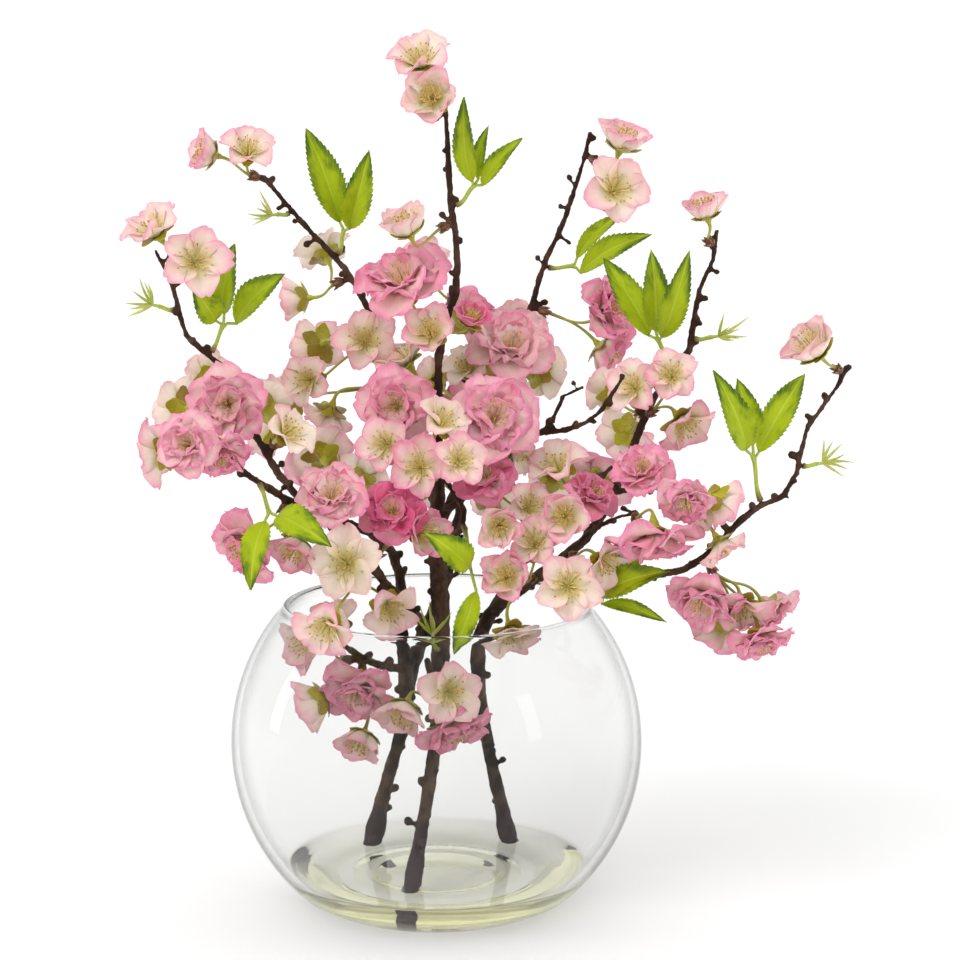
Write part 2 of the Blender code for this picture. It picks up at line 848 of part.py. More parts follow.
def stubs(branch):
    """Short blunt side buds, a golden angle apart round the branch, kept clear of its spurs."""
    made = []
    total = length_of(branch.points)
    for k in range(1, int(total / STUB_SPACING)):
        share = k * STUB_SPACING / total
        i = min(range(len(branch.shares)), key=lambda n: abs(branch.shares[n] - share))
        if not 0 < i < len(branch.points) - 1:
            continue
        point, radius = branch.points[i], branch.radii[i]
        if any((point - spur[0]).length < STUB_CLEAR for spur in branch.spurs):
            continue
        if point.z < RESIN_TOP + BARE_ABOVE_RESIN:
            continue
        run = (branch.points[i + 1] - branch.points[i - 1]).normalized()
        across = run.orthogonal().normalized()
        turn = Matrix.Rotation(GOLDEN_ANGLE * k, 3, run)
        way = (turn @ across + run * 0.5).normalized()
        reach = radius + STUB_REACH
        made.append(tube([point, point + way * reach], [radius * 0.62, radius * 0.42], 4))
    return made


def add_sprig(name, branches, finish):
    pieces = []
    for branch in branches:
        pieces.append(tube(branch.points, branch.radii, branch.sides))
        for foot, end, radius in branch.spurs:
            pieces.append(tube([foot, end], [radius * 1.15, radius], 5))
        pieces += stubs(branch)
    body = combine(pieces[0], pieces[1:], "UNION")
    return finished(body, name, finish)


# Blossoms


class Flower:
    """One blossom: where its heart is, the way it faces, its width and its form."""

    def __init__(self, place, facing, width, form):
        self.place = deepened(place)
        self.facing = Vector(facing).normalized()
        self.width = width
        self.form = form

    def base(self):
        """The bottom of the cup, where the calyx starts."""
        height = FORMS[self.form][1] * self.width
        return self.place - self.facing * height * 0.5

    def foot(self):
        """Where the calyx ends on the stalk."""
        return self.base() - self.facing * self.width * CALYX_LENGTH


def bezier(a, b, c, d, steps):
    for k in range(steps + 1):
        t = k / steps
        s = 1 - t
        yield a * s**3 + b * 3 * s * s * t + c * 3 * s * t * t + d * t**3


def flower_mesh(flower, root, way):
    """A stalk from the peg, a calyx and a lobed cup with a pointed style in it, in one closed skin."""
    rim, height, heart, style = (part * flower.width for part in FORMS[flower.form][:4])
    notch = FORMS[flower.form][4]
    axis = flower.facing
    base, foot = flower.base(), flower.foot()
    reach = (foot - root).length * 0.4
    line = list(bezier(root, root + way * reach, foot - axis * reach, foot, 2))
    across = (way.orthogonal() if abs(way.dot(axis)) > 0.98 else way.cross(axis)).normalized()
    shape = bmesh.new()
    rings = []

    def ring(centre, turned, radii):
        nonlocal across
        across = (across - turned * across.dot(turned)).normalized()
        other = turned.cross(across)
        count = len(radii)
        verts = []
        for k, radius in enumerate(radii):
            angle = math.tau * k / count
            place = centre + (across * math.cos(angle) + other * math.sin(angle)) * radius
            verts.append(shape.verts.new(place * MM))
        rings.append(verts)

    for i, point in enumerate(line):
        before, after = line[max(i - 1, 0)], line[min(i + 1, len(line) - 1)]
        turned = axis if i == len(line) - 1 else (after - before).normalized()
        ring(point, turned, [STALK_RADIUS] * PETALS)
    ring(base, axis, [flower.width * CALYX_RADIUS] * PETALS)
    lobes = [rim if k % 2 == 0 else rim * (1 - notch) for k in range(2 * PETALS)]
    ring(base + axis * height, axis, lobes)
    ring(base + axis * CUP_FLOOR, axis, [heart] * PETALS)
    tip = shape.verts.new((base + axis * style) * MM)

    shape.faces.new(reversed(rings[0]))
    for a, b in zip(rings, rings[1:]):
        if len(a) == len(b):
            for k in range(len(a)):
                n = (k + 1) % len(a)
                shape.faces.new((a[k], a[n], b[n], b[k]))
            continue
        small, large = (a, b) if len(a) < len(b) else (b, a)
        for k in range(PETALS):
            n = (k + 1) % PETALS
            left, lobe, right = large[2 * k - 1], large[2 * k], large[2 * k + 1]
            shape.faces.new((small[k], left, lobe))
            shape.faces.new((small[k], lobe, right))
            shape.faces.new((small[k], right, small[n]))
    for k in range(PETALS):
        shape.faces.new((rings[-1][k], rings[-1][(k + 1) % PETALS], tip))
    bmesh.ops.triangulate(shape, faces=shape.faces)
    return add_object("flower", mesh_of(shape))


def ease_apart(clusters, branches):
    """Crowded flowers make room for one another and for the wood, mostly in depth."""
    flowers = [flower for _, group in clusters.values() for flower in group]
    wood = [(p, r) for branch in branches.values() for p, r in zip(branch.points, branch.radii)]
    for _ in range(EASING_ROUNDS):
        for i, one in enumerate(flowers):
            for other in flowers[i + 1 :]:
                apart = other.place - one.place
                want = BLOSSOM_ROOM * (one.width + other.width) + ROOM
                if apart.length < want:
                    push = apart.normalized() * (want - apart.length) * 0.5
                    push = Vector((push.x * 0.6, push.y, push.z * 0.6))
                    one.place -= push
                    other.place += push
        for one in flowers:
            for point, radius in wood:
                apart = one.place - point
                want = WOOD_ROOM * one.width + radius + ROOM
                if apart.length < want:
                    one.place += apart.normalized() * (want - apart.length) * 0.5


def add_cluster(name, branch, flowers, finish):
    middle = sum((flower.foot() for flower in flowers), Vector()) / len(flowers)
    end, way = branch.spur_towards(middle, SPUR_RISE, SPUR_RADIUS, SPUR_REACH)
    start = end + way * CLEARANCE
    top = start + way * PEG_LENGTH
    pieces = [tube([start, top], [PEG_RADIUS, PEG_RADIUS * 0.8], 5)]
    root = start + way * PEG_LENGTH * 0.45
    for flower in flowers:
        pieces.append(flower_mesh(flower, root, way))
    body = combine(pieces[0], pieces[1:], "UNION")
    return finished(body, name, finish)


# Leaves and shoots


def blade(start, base, tip, width, facing):
    """A pointed leaf on its own stalk: four-cornered sections that end in one sharp tip."""
    run = (tip - base).normalized()
    side = run.cross(facing).normalized()
    up = side.cross(run)
    arch = (tip - base).length * LEAF_ARCH
    sections = [(start, 0.7, 0.7), (base, 0.8, 0.7)]
    for share, part in LEAF_SECTIONS:
        middle = base.lerp(tip, share) + up * arch * 4 * share * (1 - share)
        sections.append((middle, width * 0.5 * part, LEAF_THICKNESS))
    shape = bmesh.new()
    rings = []
    for middle, half, thick in sections:
        fold = half * LEAF_FOLD if half > 1 else 0
        corners = (side * half + up * fold, up * thick, -side * half + up * fold, -up * thick)
        rings.append([shape.verts.new((middle + corner) * MM) for corner in corners])
    point = shape.verts.new(tip * MM)
    shape.faces.new(reversed(rings[0]))
    for a, b in zip(rings, rings[1:]):
        for k in range(4):
            shape.faces.new((a[k], a[(k + 1) % 4], b[(k + 1) % 4], b[k]))
    for k in range(4):
        shape.faces.new((rings[-1][k], rings[-1][(k + 1) % 4], point))
    bmesh.ops.triangulate(shape, faces=shape.faces)
    return add_object("blade", mesh_of(shape))


def add_spray(name, branch, fork, facing, blades, finish):
    fork, facing = deepened(fork), Vector(facing).normalized()
    end, way = branch.spur_towards(fork, TWIG_SPUR_RADIUS, TWIG_SPUR_RADIUS)
    start = end + way * CLEARANCE
    reach = (fork - start).length
    line = list(bezier(start, start + way * reach * 0.3, fork - (fork - start) * 0.3, fork, 3))
    pieces = [tube(line, [LEAF_STALK_RADIUS] * len(line), 5)]
    inside = line[-1].lerp(line[-2], 1.2 / (line[-1] - line[-2]).length)
    for base, tip, width in blades:
        pieces.append(blade(inside, deepened(base), deepened(tip), width, facing))
    body = combine(pieces[0], pieces[1:], "UNION")
    return finished(body, name, finish)


def shoot(start, tip, turn):
    """A slim spear: narrow at its foot, widest below its middle and sharp at its tip."""
    run = tip - start
    across = Matrix.Rotation(turn, 3, run) @ run.orthogonal().normalized()
    other = run.normalized().cross(across)
    shape = bmesh.new()
    rings = []
    for share, radius in SHOOT_SECTIONS:
        ring = []
        for way in (across, other, -across, -other):
            ring.append(shape.verts.new((start + run * share + way * radius) * MM))
        rings.append(ring)
    point = shape.verts.new(tip * MM)
    shape.faces.new(reversed(rings[0]))
    for a, b in zip(rings, rings[1:]):
        for k in range(4):
            shape.faces.new((a[k], a[(k + 1) % 4], b[(k + 1) % 4], b[k]))
    for k in range(4):
        shape.faces.new((rings[-1][k], rings[-1][(k + 1) % 4], point))
    bmesh.ops.triangulate(shape, faces=shape.faces)
    return add_object("shoot", mesh_of(shape))


def add_tuft(name, branch, fork, tips, finish):
    fork = deepened(fork)
    end, way = branch.spur_towards(fork, TWIG_SPUR_RADIUS, TWIG_SPUR_RADIUS)
    start = end + way * CLEARANCE
    pieces = [tube([start, fork], TUFT_RADII, 6)]
    inside = fork.lerp(start, 0.4)
    for k, tip in enumerate(tips):
        pieces.append(shoot(inside, deepened(tip), GOLDEN_ANGLE * k))
    body = combine(pieces[0], pieces[1:], "UNION")
    return finished(body, name, finish)


def main():
    clear_scene()
    glass = material("glass", (0.93, 0.95, 0.95), 0.02, alpha=0.35)
    resin = material("resin", (0.93, 0.96, 0.86), 0.05, alpha=0.5)
    bark = material("bark", (0.10, 0.06, 0.045), 0.85)
    petal = material("petal", (0.93, 0.60, 0.66), 0.55)
    leaf = material("leaf", (0.38, 0.52, 0.05), 0.5)

    branches = {name: Branch(*row) for name, row in ROUTES.items()}
    clusters = {
        name: (branch, [Flower(*row) for row in rows]) for name, (branch, rows) in CLUSTERS.items()
    }
    ease_apart(clusters, branches)
    for name, (branch, flowers) in clusters.items():
        add_cluster(name, branches[branch], flowers, petal)
    for name, (branch, fork, facing, blades) in SPRAYS.items():
        add_spray(name, branches[branch], fork, facing, blades, leaf)
    for name, (branch, fork, tips) in TUFTS.items():
        add_tuft(name, branches[branch], fork, tips, leaf)

    for sprig in ("front_sprig", "left_sprig", "right_sprig"):
        add_sprig(sprig, [b for b in branches.values() if b.sprig == sprig], bark)
    stems = [branches[name] for name in ("front_stem", "left_stem", "right_stem")]
    add_resin(resin, [(stem.points[:4], stem.radii[:4]) for stem in stems])
    add_vase(glass)


main()
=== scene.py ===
"""Cherry blossom sprigs in a glass bubble vase: the finished look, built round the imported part.

Every blossom, leaf and shoot is placed from its plain stand-in in the part. The tip of each stand-in's style,
the ring of its heart and the flat end of its peg say where a blossom sits, how wide it opens, which way it
faces and where its stalk leaves the wood. Lengths in the tables are millimetres, and meshes are in metres.
"""

import functools
import math
import random

import bmesh
import bpy
from bpy.props import FloatProperty, FloatVectorProperty, IntProperty, PointerProperty
from mathutils import Matrix, Vector, noise
from mathutils.bvhtree import BVHTree


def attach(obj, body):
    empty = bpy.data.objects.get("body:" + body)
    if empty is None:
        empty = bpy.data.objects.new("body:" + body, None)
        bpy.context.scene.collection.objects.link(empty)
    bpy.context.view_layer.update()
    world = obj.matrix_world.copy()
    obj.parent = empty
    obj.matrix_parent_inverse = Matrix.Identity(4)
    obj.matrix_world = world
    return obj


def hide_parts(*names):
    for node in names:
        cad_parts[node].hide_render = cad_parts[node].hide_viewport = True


bl_info = {
    "name": "Cherry Blossom Vase",
    "version": (1, 0, 0),
    "blender": (4, 5, 0),
    "location": "View3D > Sidebar > Blossom",
    "description": "Adds the wood, blossoms, leaves, glass and resin of a vase of cherry blossom",
    "category": "Add Mesh",
}

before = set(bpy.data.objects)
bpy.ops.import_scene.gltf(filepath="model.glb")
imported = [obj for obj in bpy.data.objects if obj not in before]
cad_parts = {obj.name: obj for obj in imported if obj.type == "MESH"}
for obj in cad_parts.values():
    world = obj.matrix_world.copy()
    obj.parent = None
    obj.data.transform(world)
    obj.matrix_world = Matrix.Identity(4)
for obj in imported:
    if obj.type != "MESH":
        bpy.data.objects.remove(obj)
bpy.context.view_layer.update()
MM = 0.001
WELD = 0.01 * MM
SPRIGS = ("front_sprig", "left_sprig", "right_sprig")

# Blossom forms: heart radius and style height of the stand-in, as shares of its width
FORMS = {"open": (0.060, 0.34), "cup": (0.060, 0.46), "double": (0.110, 0.40)}
# The petals' base lies below the ring of the heart, and the calyx's foot below that: a depth, then shares of
# the blossom's width
CUP_FLOOR = 2.2 * MM
SINK = 0.09
CALYX = 0.16
PETALS = 5

# How the stand-ins are drawn: sides of a peg, corners of a blade, and the fewest cross-sections of one
PEG_SIDES = 5
SHOOT_PEG_SIDES = 6
BLADE_CORNERS = 4
LEAF_SECTIONS = 5
SHOOT_SECTIONS = 3

# How finely the stalks of blossoms, the stalks of sprays and the middle lines of petals are drawn
STALK_STEPS = 14
SPRAY_STEPS = 8
PETAL_LINE_STEPS = 16

# Whorls of petals: length and half width as shares of the blossom's width, tilt from flat at the base, middle
# and tip in degrees, cupping across, ruffle, extra blush, and cells across and along
WHORLS = {
    "open": ((0.615, 0.268, (54, 26, 14), 0.74, 0.040, 0.0, 10, 9),),
    "cup": ((0.690, 0.315, (16, 42, 60), 0.74, 0.036, 0.0, 10, 9),),
    "double": (
        (0.640, 0.325, (40, 12, -2), 0.34, 0.080, 0.0, 10, 9),
        (0.550, 0.280, (56, 34, 18), 0.44, 0.100, 0.0, 10, 8),
        (0.440, 0.225, (72, 58, 42), 0.54, 0.105, -0.04, 8, 7),
    ),
}
# Across-width of a petal at even steps from its base to its tip
PETAL_WIDTHS = (0.18, 0.45, 0.74, 0.94, 1.0, 0.92, 0.60)
SEPAL_WIDTHS = (0.40, 0.66, 0.90, 1.0, 0.96, 0.68)
# Tilts of a sepal at its base, middle and tip
SEPAL_TILTS = {"open": (58, 12, 4), "cup": (20, 32, 48), "double": (50, 4, -8)}
# Stamens: length as a share of the blossom's width, and how far the outermost lean, in radians
STAMENS = {"open": (0.34, 0.86), "cup": (0.42, 0.50), "double": (0.36, 0.42)}

# How pink each cluster's blossoms are, from the leftmost to the rightmost
BLUSH = {
    "top_blossoms": (0.35, 0.45),
    "top_side_blossom": (0.35,),
    "upper_left_tip_blossoms": (0.50, 0.40),
    "upper_left_back_blossoms": (0.40, 0.12),
    "upper_left_low_blossoms": (0.38, 0.45, 0.38),
    "upper_left_under_blossoms": (0.40, 0.50),
    "crown_blossoms": (0.72, 0.55, 0.95),
    "crown_front_blossoms": (0.50, 0.66, 0.30),
    "right_crown_blossoms": (0.20, 0.52),
    "right_crown_back_blossoms": (0.30, 0.22),
    "far_left_tip_blossoms": (0.45, 0.42),
    "left_heart_blossoms": (0.25, 0.35, 0.62),
    "left_low_blossoms": (0.50, 0.60, 0.70),
    "left_inner_blossoms": (0.28, 0.22),
    "left_front_blossoms": (0.35, 0.55),
    "left_down_blossoms": (0.74, 0.62),
    "front_open_blossoms": (0.42, 0.24, 0.35),
    "bowl_side_blossoms": (0.40, 0.45, 0.40),
    "bowl_left_blossoms": (0.60, 0.50),
    "bowl_front_blossoms": (0.40, 0.30, 0.58),
    "heart_left_blossoms": (0.95, 0.62),
    "heart_blossoms": (0.60, 0.24, 0.45),
    "heart_right_blossoms": (0.62, 0.30),
    "heart_low_blossoms": (0.88, 0.50, 0.38),
    "right_cup_blossoms": (0.36, 0.50, 0.88),
    "low_blossoms": (0.62, 0.30, 0.46),
    "right_open_blossoms": (0.32, 0.42),
    "right_wide_blossom": (0.66,),
    "right_top_blossoms": (0.42, 0.52),
    "right_pink_blossoms": (0.66, 0.80),
    "tall_right_blossom": (0.45,),
    "elbow_right_blossoms": (0.40, 0.50, 0.52),
    "elbow_back_blossoms": (0.24, 0.30),
    "right_twig_blossoms": (0.72, 0.64, 0.46, 0.50),
    "far_right_blossom": (0.45,),
    "droop_blossoms": (0.66, 0.50, 0.52, 0.66, 0.60),
    "rear_left_blossoms": (0.38, 0.62, 0.30),
    "rear_blossoms": (0.35, 0.66, 0.30),
    "rear_crown_blossoms": (0.40, 0.70),
    "rear_low_blossoms": (0.32, 0.48),
    "rear_right_blossoms": (0.30, 0.64, 0.42),
}

# How much larger than its stand-ins a cluster's blossoms are
FULLNESS = {
    "bowl_side_blossoms": 1.16,
    "bowl_left_blossoms": 1.16,
    "bowl_front_blossoms": 1.16,
    "droop_blossoms": 1.12,
}

# Glass: a ball cut off flat below and open above
BALL_RADIUS = 102.5
BALL_HEIGHT = 84.0
INNER_HEIGHT = 85.3
WALL = 3.4
FLOOR = 6.0
BASE_RADIUS = 52.6
FLOOR_RADIUS = 48.0
BASE_CURVE_TOP = 11.0
RIM_HEIGHT = 152.4
# The glass's tint, and the dark colour painted where the glass is seen edge-on: painted shade at its edges
GLASS_TINT_AND_PAINTED_EDGE_SHADE = (0.918, 0.922, 0.915), (0.24, 0.26, 0.25)
# The resin reaches a little way into the glass, so that no gap shows between them
RESIN_TOP = 20.3
RESIN_LAP = 0.15
RESIN_SURFACE = (1.0, 0.99, 0.975)
RESIN_DENSITY = 11.0

SHARP_ANGLE = math.radians(52)
GOLDEN_ANGLE = math.radians(137.5)
PISTIL_COLOUR = (0.40, 0.45, 0.10)

# The room, in metres: where its sides start to dim and are dimmest, by how much, its paper, lamps and camera
SIDES = (0.84, 0.99)
SIDE_DIMNESS = 0.10
PAPER_RADIUS = 16.0
LAMP_AIM = Vector((0, 0, 0.15))
SUN_SPREAD = math.radians(35)
WINDOW_SIZE = (0.20, 0.55)
CAMERA_PLACE = (0.02174, -1.6985, 0.5216)
CAMERA_TILT = 0.178
CLEAR_BOUNCES = 40
OTHER_BOUNCES = 30


# Meshes


def merged_copy(node):
    """A bmesh copy of a node of the part, with its loose triangles joined."""
    shape = bmesh.new()
    shape.from_mesh(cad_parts[node].data)
    bmesh.ops.remove_doubles(shape, verts=shape.verts, dist=WELD)
    return shape


def named(ending):
    return sorted(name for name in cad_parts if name.endswith(ending))


def add_piece(name, mesh, finish, replaced=()):
    """Shows a mesh as a piece of the object that stands for nodes of the part."""
    mesh.name = name
    mesh.materials.append(finish)
    mesh.shade_smooth()
    mesh.set_sharp_from_angle(angle=SHARP_ANGLE)
    piece = bpy.data.objects.new(name, mesh)
    bpy.context.scene.collection.objects.link(piece)
    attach(piece, "root")
    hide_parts(*replaced)


def finished_mesh(shape, name):
    bmesh.ops.recalc_face_normals(shape, faces=shape.faces)
    mesh = bpy.data.meshes.new(name)
    shape.to_mesh(mesh)
    shape.free()
    return mesh


def thicken(shape, thickness):
    """Gives open sheets a second side and closed margins."""
    shape.normal_update()
    push = shape.verts.layers.float_vector.new("push")
    for vert in shape.verts:
        vert[push] = vert.normal * thickness
    made = bmesh.ops.extrude_face_region(shape, geom=shape.faces[:], use_keep_orig=True)
    for vert in made["geom"]:
        if isinstance(vert, bmesh.types.BMVert):
            vert.co -= vert[push]
    shape.verts.layers.float_vector.remove(push)


def along(values, share):
    """The value at a share from 0 to 1 along evenly spaced values."""
    place = min(max(share, 0.0), 1.0) * (len(values) - 1)
    i = min(int(place), len(values) - 2)
    return values[i] + (values[i + 1] - values[i]) * (place - i)


def middle_of(points):
    points = list(points)
    return sum(points, Vector()) / len(points)


def taper(profile, steps):
    """Radii at even steps along a tube, from a profile in millimetres."""
    return [along(profile, k / steps) * MM for k in range(steps + 1)]


def curve(start, way, end, arrival, steps):
    """Points along a line that leaves its start one way and comes to its end another way."""
    reach = (end - start).length * 0.4
    b, c = start + way * reach, end - arrival * reach
    points = []
    for k in range(steps + 1):
        t = k / steps
        r = 1 - t
        points.append(start * r**3 + b * 3 * r * r * t + c * 3 * r * t * t + end * t**3)
    return points


def sweep(shape, points, radii, sides, paint=None, colour=None):
    """A closed tube: a disc pulled along points, in one colour or in a colour for each ring's number."""

    def tint(verts, i):
        if paint:
            paint(verts, colour(i) if callable(colour) else colour)

    way = (points[1] - points[0]).normalized()
    turn = way.to_track_quat("Z", "Y")
    place = Matrix.Translation(points[0]) @ turn.to_matrix().to_4x4()
    ring = bmesh.ops.create_circle(
        shape, cap_ends=True, segments=sides, radius=radii[0], matrix=place
    )["verts"]
    face = next(f for f in ring[0].link_faces if len(f.verts) == sides)
    tint(ring, 0)
    for i in range(1, len(points)):
        after = points[min(i + 1, len(points) - 1)]
        turned = (after - points[i - 1]).normalized()
        bend = way.rotation_difference(turned).to_matrix()
        made = bmesh.ops.extrude_face_region(shape, geom=[face], use_keep_orig=i == 1)
        face = next(e for e in made["geom"] if isinstance(e, bmesh.types.BMFace))
        grow = radii[i] / radii[i - 1]
        for vert in face.verts:
            vert.co = points[i] + bend @ (vert.co - points[i - 1]) * grow
        tint(face.verts, i)
        way = turned


def bead(shape, centre, way, radius, length, detail):
    """A small egg with its long side along a direction."""
    place = Matrix.Translation(centre) @ way.to_track_quat("Z", "Y").to_matrix().to_4x4()
    place = place @ Matrix.Diagonal((1, 1, length / radius, 1))
    return bmesh.ops.create_icosphere(shape, subdivisions=detail, radius=radius, matrix=place)["verts"]


# Landmarks of the part


class Blossom:
    """A blossom read off its stand-in: base, axis, width, form and the directions of its petals."""

    def __init__(self, tip, ring):
        centre = middle_of(v.co for v in ring)
        rise = tip.co - centre
        spread = sum((v.co - centre).length for v in ring) / PETALS
        ratio = spread / (rise.length + CUP_FLOOR)
        self.form = min(FORMS, key=lambda name: abs(ratio - FORMS[name][0] / FORMS[name][1]))
        self.width = spread / FORMS[self.form][0]
        self.axis = rise.normalized()
        self.base = centre - self.axis * (CUP_FLOOR + SINK * self.width)
        self.foot = self.base - self.axis * CALYX * self.width
        self.out = (ring[0].co - centre).normalized()
        self.blush = 0.4

    def towards(self, turn):
        """The direction at a turn from the first petal, in radians."""
        return Matrix.Rotation(turn, 3, self.axis) @ self.out


def read_blossoms(shape):
    found = []
    for tip in shape.verts:
        ring = [edge.other_vert(tip) for edge in tip.link_edges]
        if len(ring) != PETALS:
            continue
        reaches = [(v.co - tip.co).length for v in ring]
        if min(reaches) < 4 * MM or max(reaches) > min(reaches) * 1.02:
            continue
        found.append(Blossom(tip, ring))
    return sorted(found, key=lambda b: b.base.x)


@functools.cache
def wood_surface():
    """The wood of all the sprigs, to measure from."""
    joined = bmesh.new()
    for name in SPRIGS:
        joined.from_mesh(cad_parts[name].data)
    surface = BVHTree.FromBMesh(joined)
    joined.free()
    return surface


def read_peg(shape, corners):
    """Where a piece leaves the wood and which way: the middle of its flat end and its direction."""
    surface = wood_surface()
    nearest = sorted(shape.verts, key=lambda v: surface.find_nearest(v.co)[3])[:corners]
    middle = middle_of(v.co for v in nearest)
    away = middle - surface.find_nearest(middle)[0]
    flat = (nearest[0].co - middle).cross(nearest[1].co - middle)
    off_plane = abs(flat.normalized().dot((nearest[2].co - middle).normalized()))
    if off_plane > 0.2 or flat.length < 1e-9:
        flat = away
    way = flat.normalized()
    if way.dot(away) < 0:
        way = -way
    return middle, way


@functools.cache
def cluster(name):
    """The blossoms of a cluster, and the place and direction in which its stalks leave the wood."""
    shape = merged_copy(name)
    blossoms = read_blossoms(shape)
    middle, way = read_peg(shape, PEG_SIDES)
    shape.free()
    if len(blossoms) != len(BLUSH[name]):
        raise RuntimeError(f"{name} has {len(blossoms)} blossoms and {len(BLUSH[name])} blushes")
    for blossom, blush in zip(blossoms, BLUSH[name]):
        blossom.blush = blush
        blossom.width *= FULLNESS.get(name, 1.0)
    return blossoms, middle, way


def cluster_names():
    return named("_blossoms") + named("_blossom")


def read_blades(shape, fewest):
    """The cross-sections of each pointed blade of a stand-in, from its tip back to its stalk."""
    blades = []
    for tip in shape.verts:
        level = {edge.other_vert(tip) for edge in tip.link_edges}
        if len(level) != BLADE_CORNERS:
            continue
        seen = {tip} | level
        sections = [[tip.co.copy()]]
        while len(level) == BLADE_CORNERS:
            sections.append(sorted((v.co.copy() for v in level), key=tuple))
            level = {edge.other_vert(v) for v in level for edge in v.link_edges} - seen
            seen |= level
        if len(sections) >= fewest:
            blades.append(sections)
    return blades


# Shaders


class Shader:
    """A node tree, built node by node from left to right."""

    def __init__(self, tree):
        self.nodes = tree.nodes
        self.links = tree.links

    def feed(self, socket, value):
        if isinstance(value, bpy.types.NodeSocket):
            self.links.new(value, socket)
        elif isinstance(value, (int, float)):
            socket.default_value = value
        else:
            socket.default_value = (*value[:3], 1.0)

    def maths(self, operation, *values, clamp=False):
        made = self.nodes.new("ShaderNodeMath")
        made.operation = operation
        made.use_clamp = clamp
        for socket, value in zip(made.inputs, values):
            self.feed(socket, value)
        return made.outputs[0]

    def times(self, first, second):
        return self.maths("MULTIPLY", first, second)

    def scaled(self, value, factor, offset, clamp=False):
        return self.maths("MULTIPLY_ADD", value, factor, offset, clamp=clamp)

    def step(self, value, low, high):
        """A smooth step from 0 at the low value to 1 at the high one."""
        made = self.nodes.new("ShaderNodeMapRange")
        made.interpolation_type = "SMOOTHSTEP"
        self.feed(made.inputs["Value"], value)
        self.feed(made.inputs["From Min"], low)
        self.feed(made.inputs["From Max"], high)
        return made.outputs["Result"]

    def blend(self, share, first, second, kind="MIX"):
        made = self.nodes.new("ShaderNodeMix")
        made.data_type = "RGBA"
        made.blend_type = kind
        colours = [s for s in made.inputs if s.type == "RGBA"]
        self.feed(made.inputs[0], share)
        self.feed(colours[0], first)
        self.feed(colours[1], second)
        return next(s for s in made.outputs if s.type == "RGBA")

    def vector(self, x, y, z):
        made = self.nodes.new("ShaderNodeCombineXYZ")
        for socket, value in zip(made.inputs, (x, y, z)):
            self.feed(socket, value)
        return made.outputs[0]

    def parts(self, vector):
        made = self.nodes.new("ShaderNodeSeparateXYZ")
        self.feed(made.inputs[0], vector)
        return made.outputs[0], made.outputs[1], made.outputs[2]

    def place(self, kind="Object"):
        return self.nodes.new("ShaderNodeTexCoord").outputs[kind]

    def attribute(self, name, output):
        made = self.nodes.new("ShaderNodeAttribute")
        made.attribute_name = name
        return made.outputs[output]

    def grain(self, vector, scale, detail=2.0, rough=0.5, warp=0.0):
        """Noise from 0 to 1."""
        made = self.nodes.new("ShaderNodeTexNoise")
        self.feed(made.inputs["Vector"], vector)
        self.feed(made.inputs["Scale"], scale)
        self.feed(made.inputs["Detail"], detail)
        self.feed(made.inputs["Roughness"], rough)
        self.feed(made.inputs["Distortion"], warp)
        return made.outputs["Fac"]


class Finish(Shader):
    """A material round its principled surface."""

    def __init__(self, name, roughness, **constants):
        self.material = bpy.data.materials.new(name)
        self.material.use_nodes = True
        super().__init__(self.material.node_tree)
        self.surface = self.nodes["Principled BSDF"]
        self.surface.inputs["Roughness"].default_value = roughness
        for socket, value in constants.items():
            self.surface.inputs[socket.replace("_", " ")].default_value = value

    def relief(self, height, strength, depth):
        made = self.nodes.new("ShaderNodeBump")
        self.feed(made.inputs["Height"], height)
        self.feed(made.inputs["Strength"], strength)
        self.feed(made.inputs["Distance"], depth)
        self.feed(self.surface.inputs["Normal"], made.outputs[0])

    def colour(self, value):
        self.feed(self.surface.inputs["Base Color"], value)


def petal_finish(settings):
    made = Finish(
        "petal",
        0.55,
        Subsurface_Weight=0.60,
        Subsurface_Radius=(0.8, 0.8, 0.8),
        Subsurface_Scale=2.2 * MM,
        Sheen_Weight=0.08,
        Sheen_Roughness=0.45,
        Specular_IOR_Level=0.2,
    )
    across, up, blush = made.parts(made.attribute("petal", "Vector"))
    tone = made.attribute("tone", "Fac")
    sideways = made.times(across, across)
    drift = made.grain(made.vector(across, up, made.times(tone, 40.0)), 2.2, 3.0)
    drift = made.times(made.maths("SUBTRACT", drift, 0.5), 0.45)
    margin = made.maths("ADD", made.times(made.scaled(sideways, 0.34, 0.80), up), drift)
    rosy = made.scaled(made.step(margin, 0.20, 0.94), 1.52, 0.17)
    amount = made.maths("MULTIPLY", blush, rosy, clamp=True)
    double = made.step(tone, 0.99, 1.01)
    heart = made.blend(double, settings.heart_colour, settings.double_heart_colour)
    pale = made.blend(made.step(up, 0.0, made.scaled(double, 0.55, 0.66)), heart, settings.cream_colour)
    pink = made.blend(amount, pale, settings.pink_colour)
    deep = made.blend(made.times(made.step(blush, 0.68, 1.12), 0.90), pink, settings.deep_colour)
    edge = made.maths("MAXIMUM", made.times(sideways, made.step(up, 0.1, 0.6)), up)
    rim = made.maths("MULTIPLY", made.step(edge, 0.80, 1.0), made.scaled(blush, 0.50, 0.22), clamp=True)
    rimmed = made.blend(rim, deep, settings.rim_colour)
    fan = made.maths("DIVIDE", made.times(across, 7.0), made.maths("ADD", up, 0.35))
    veins = made.grain(made.vector(fan, up, tone), 3.0, 2.0, 0.6)
    shade = made.scaled(veins, 0.34, 0.83)
    made.colour(made.blend(0.75, rimmed, made.vector(shade, shade, shade), "MULTIPLY"))
    made.relief(veins, 0.35, 0.25 * MM)
    return made.material


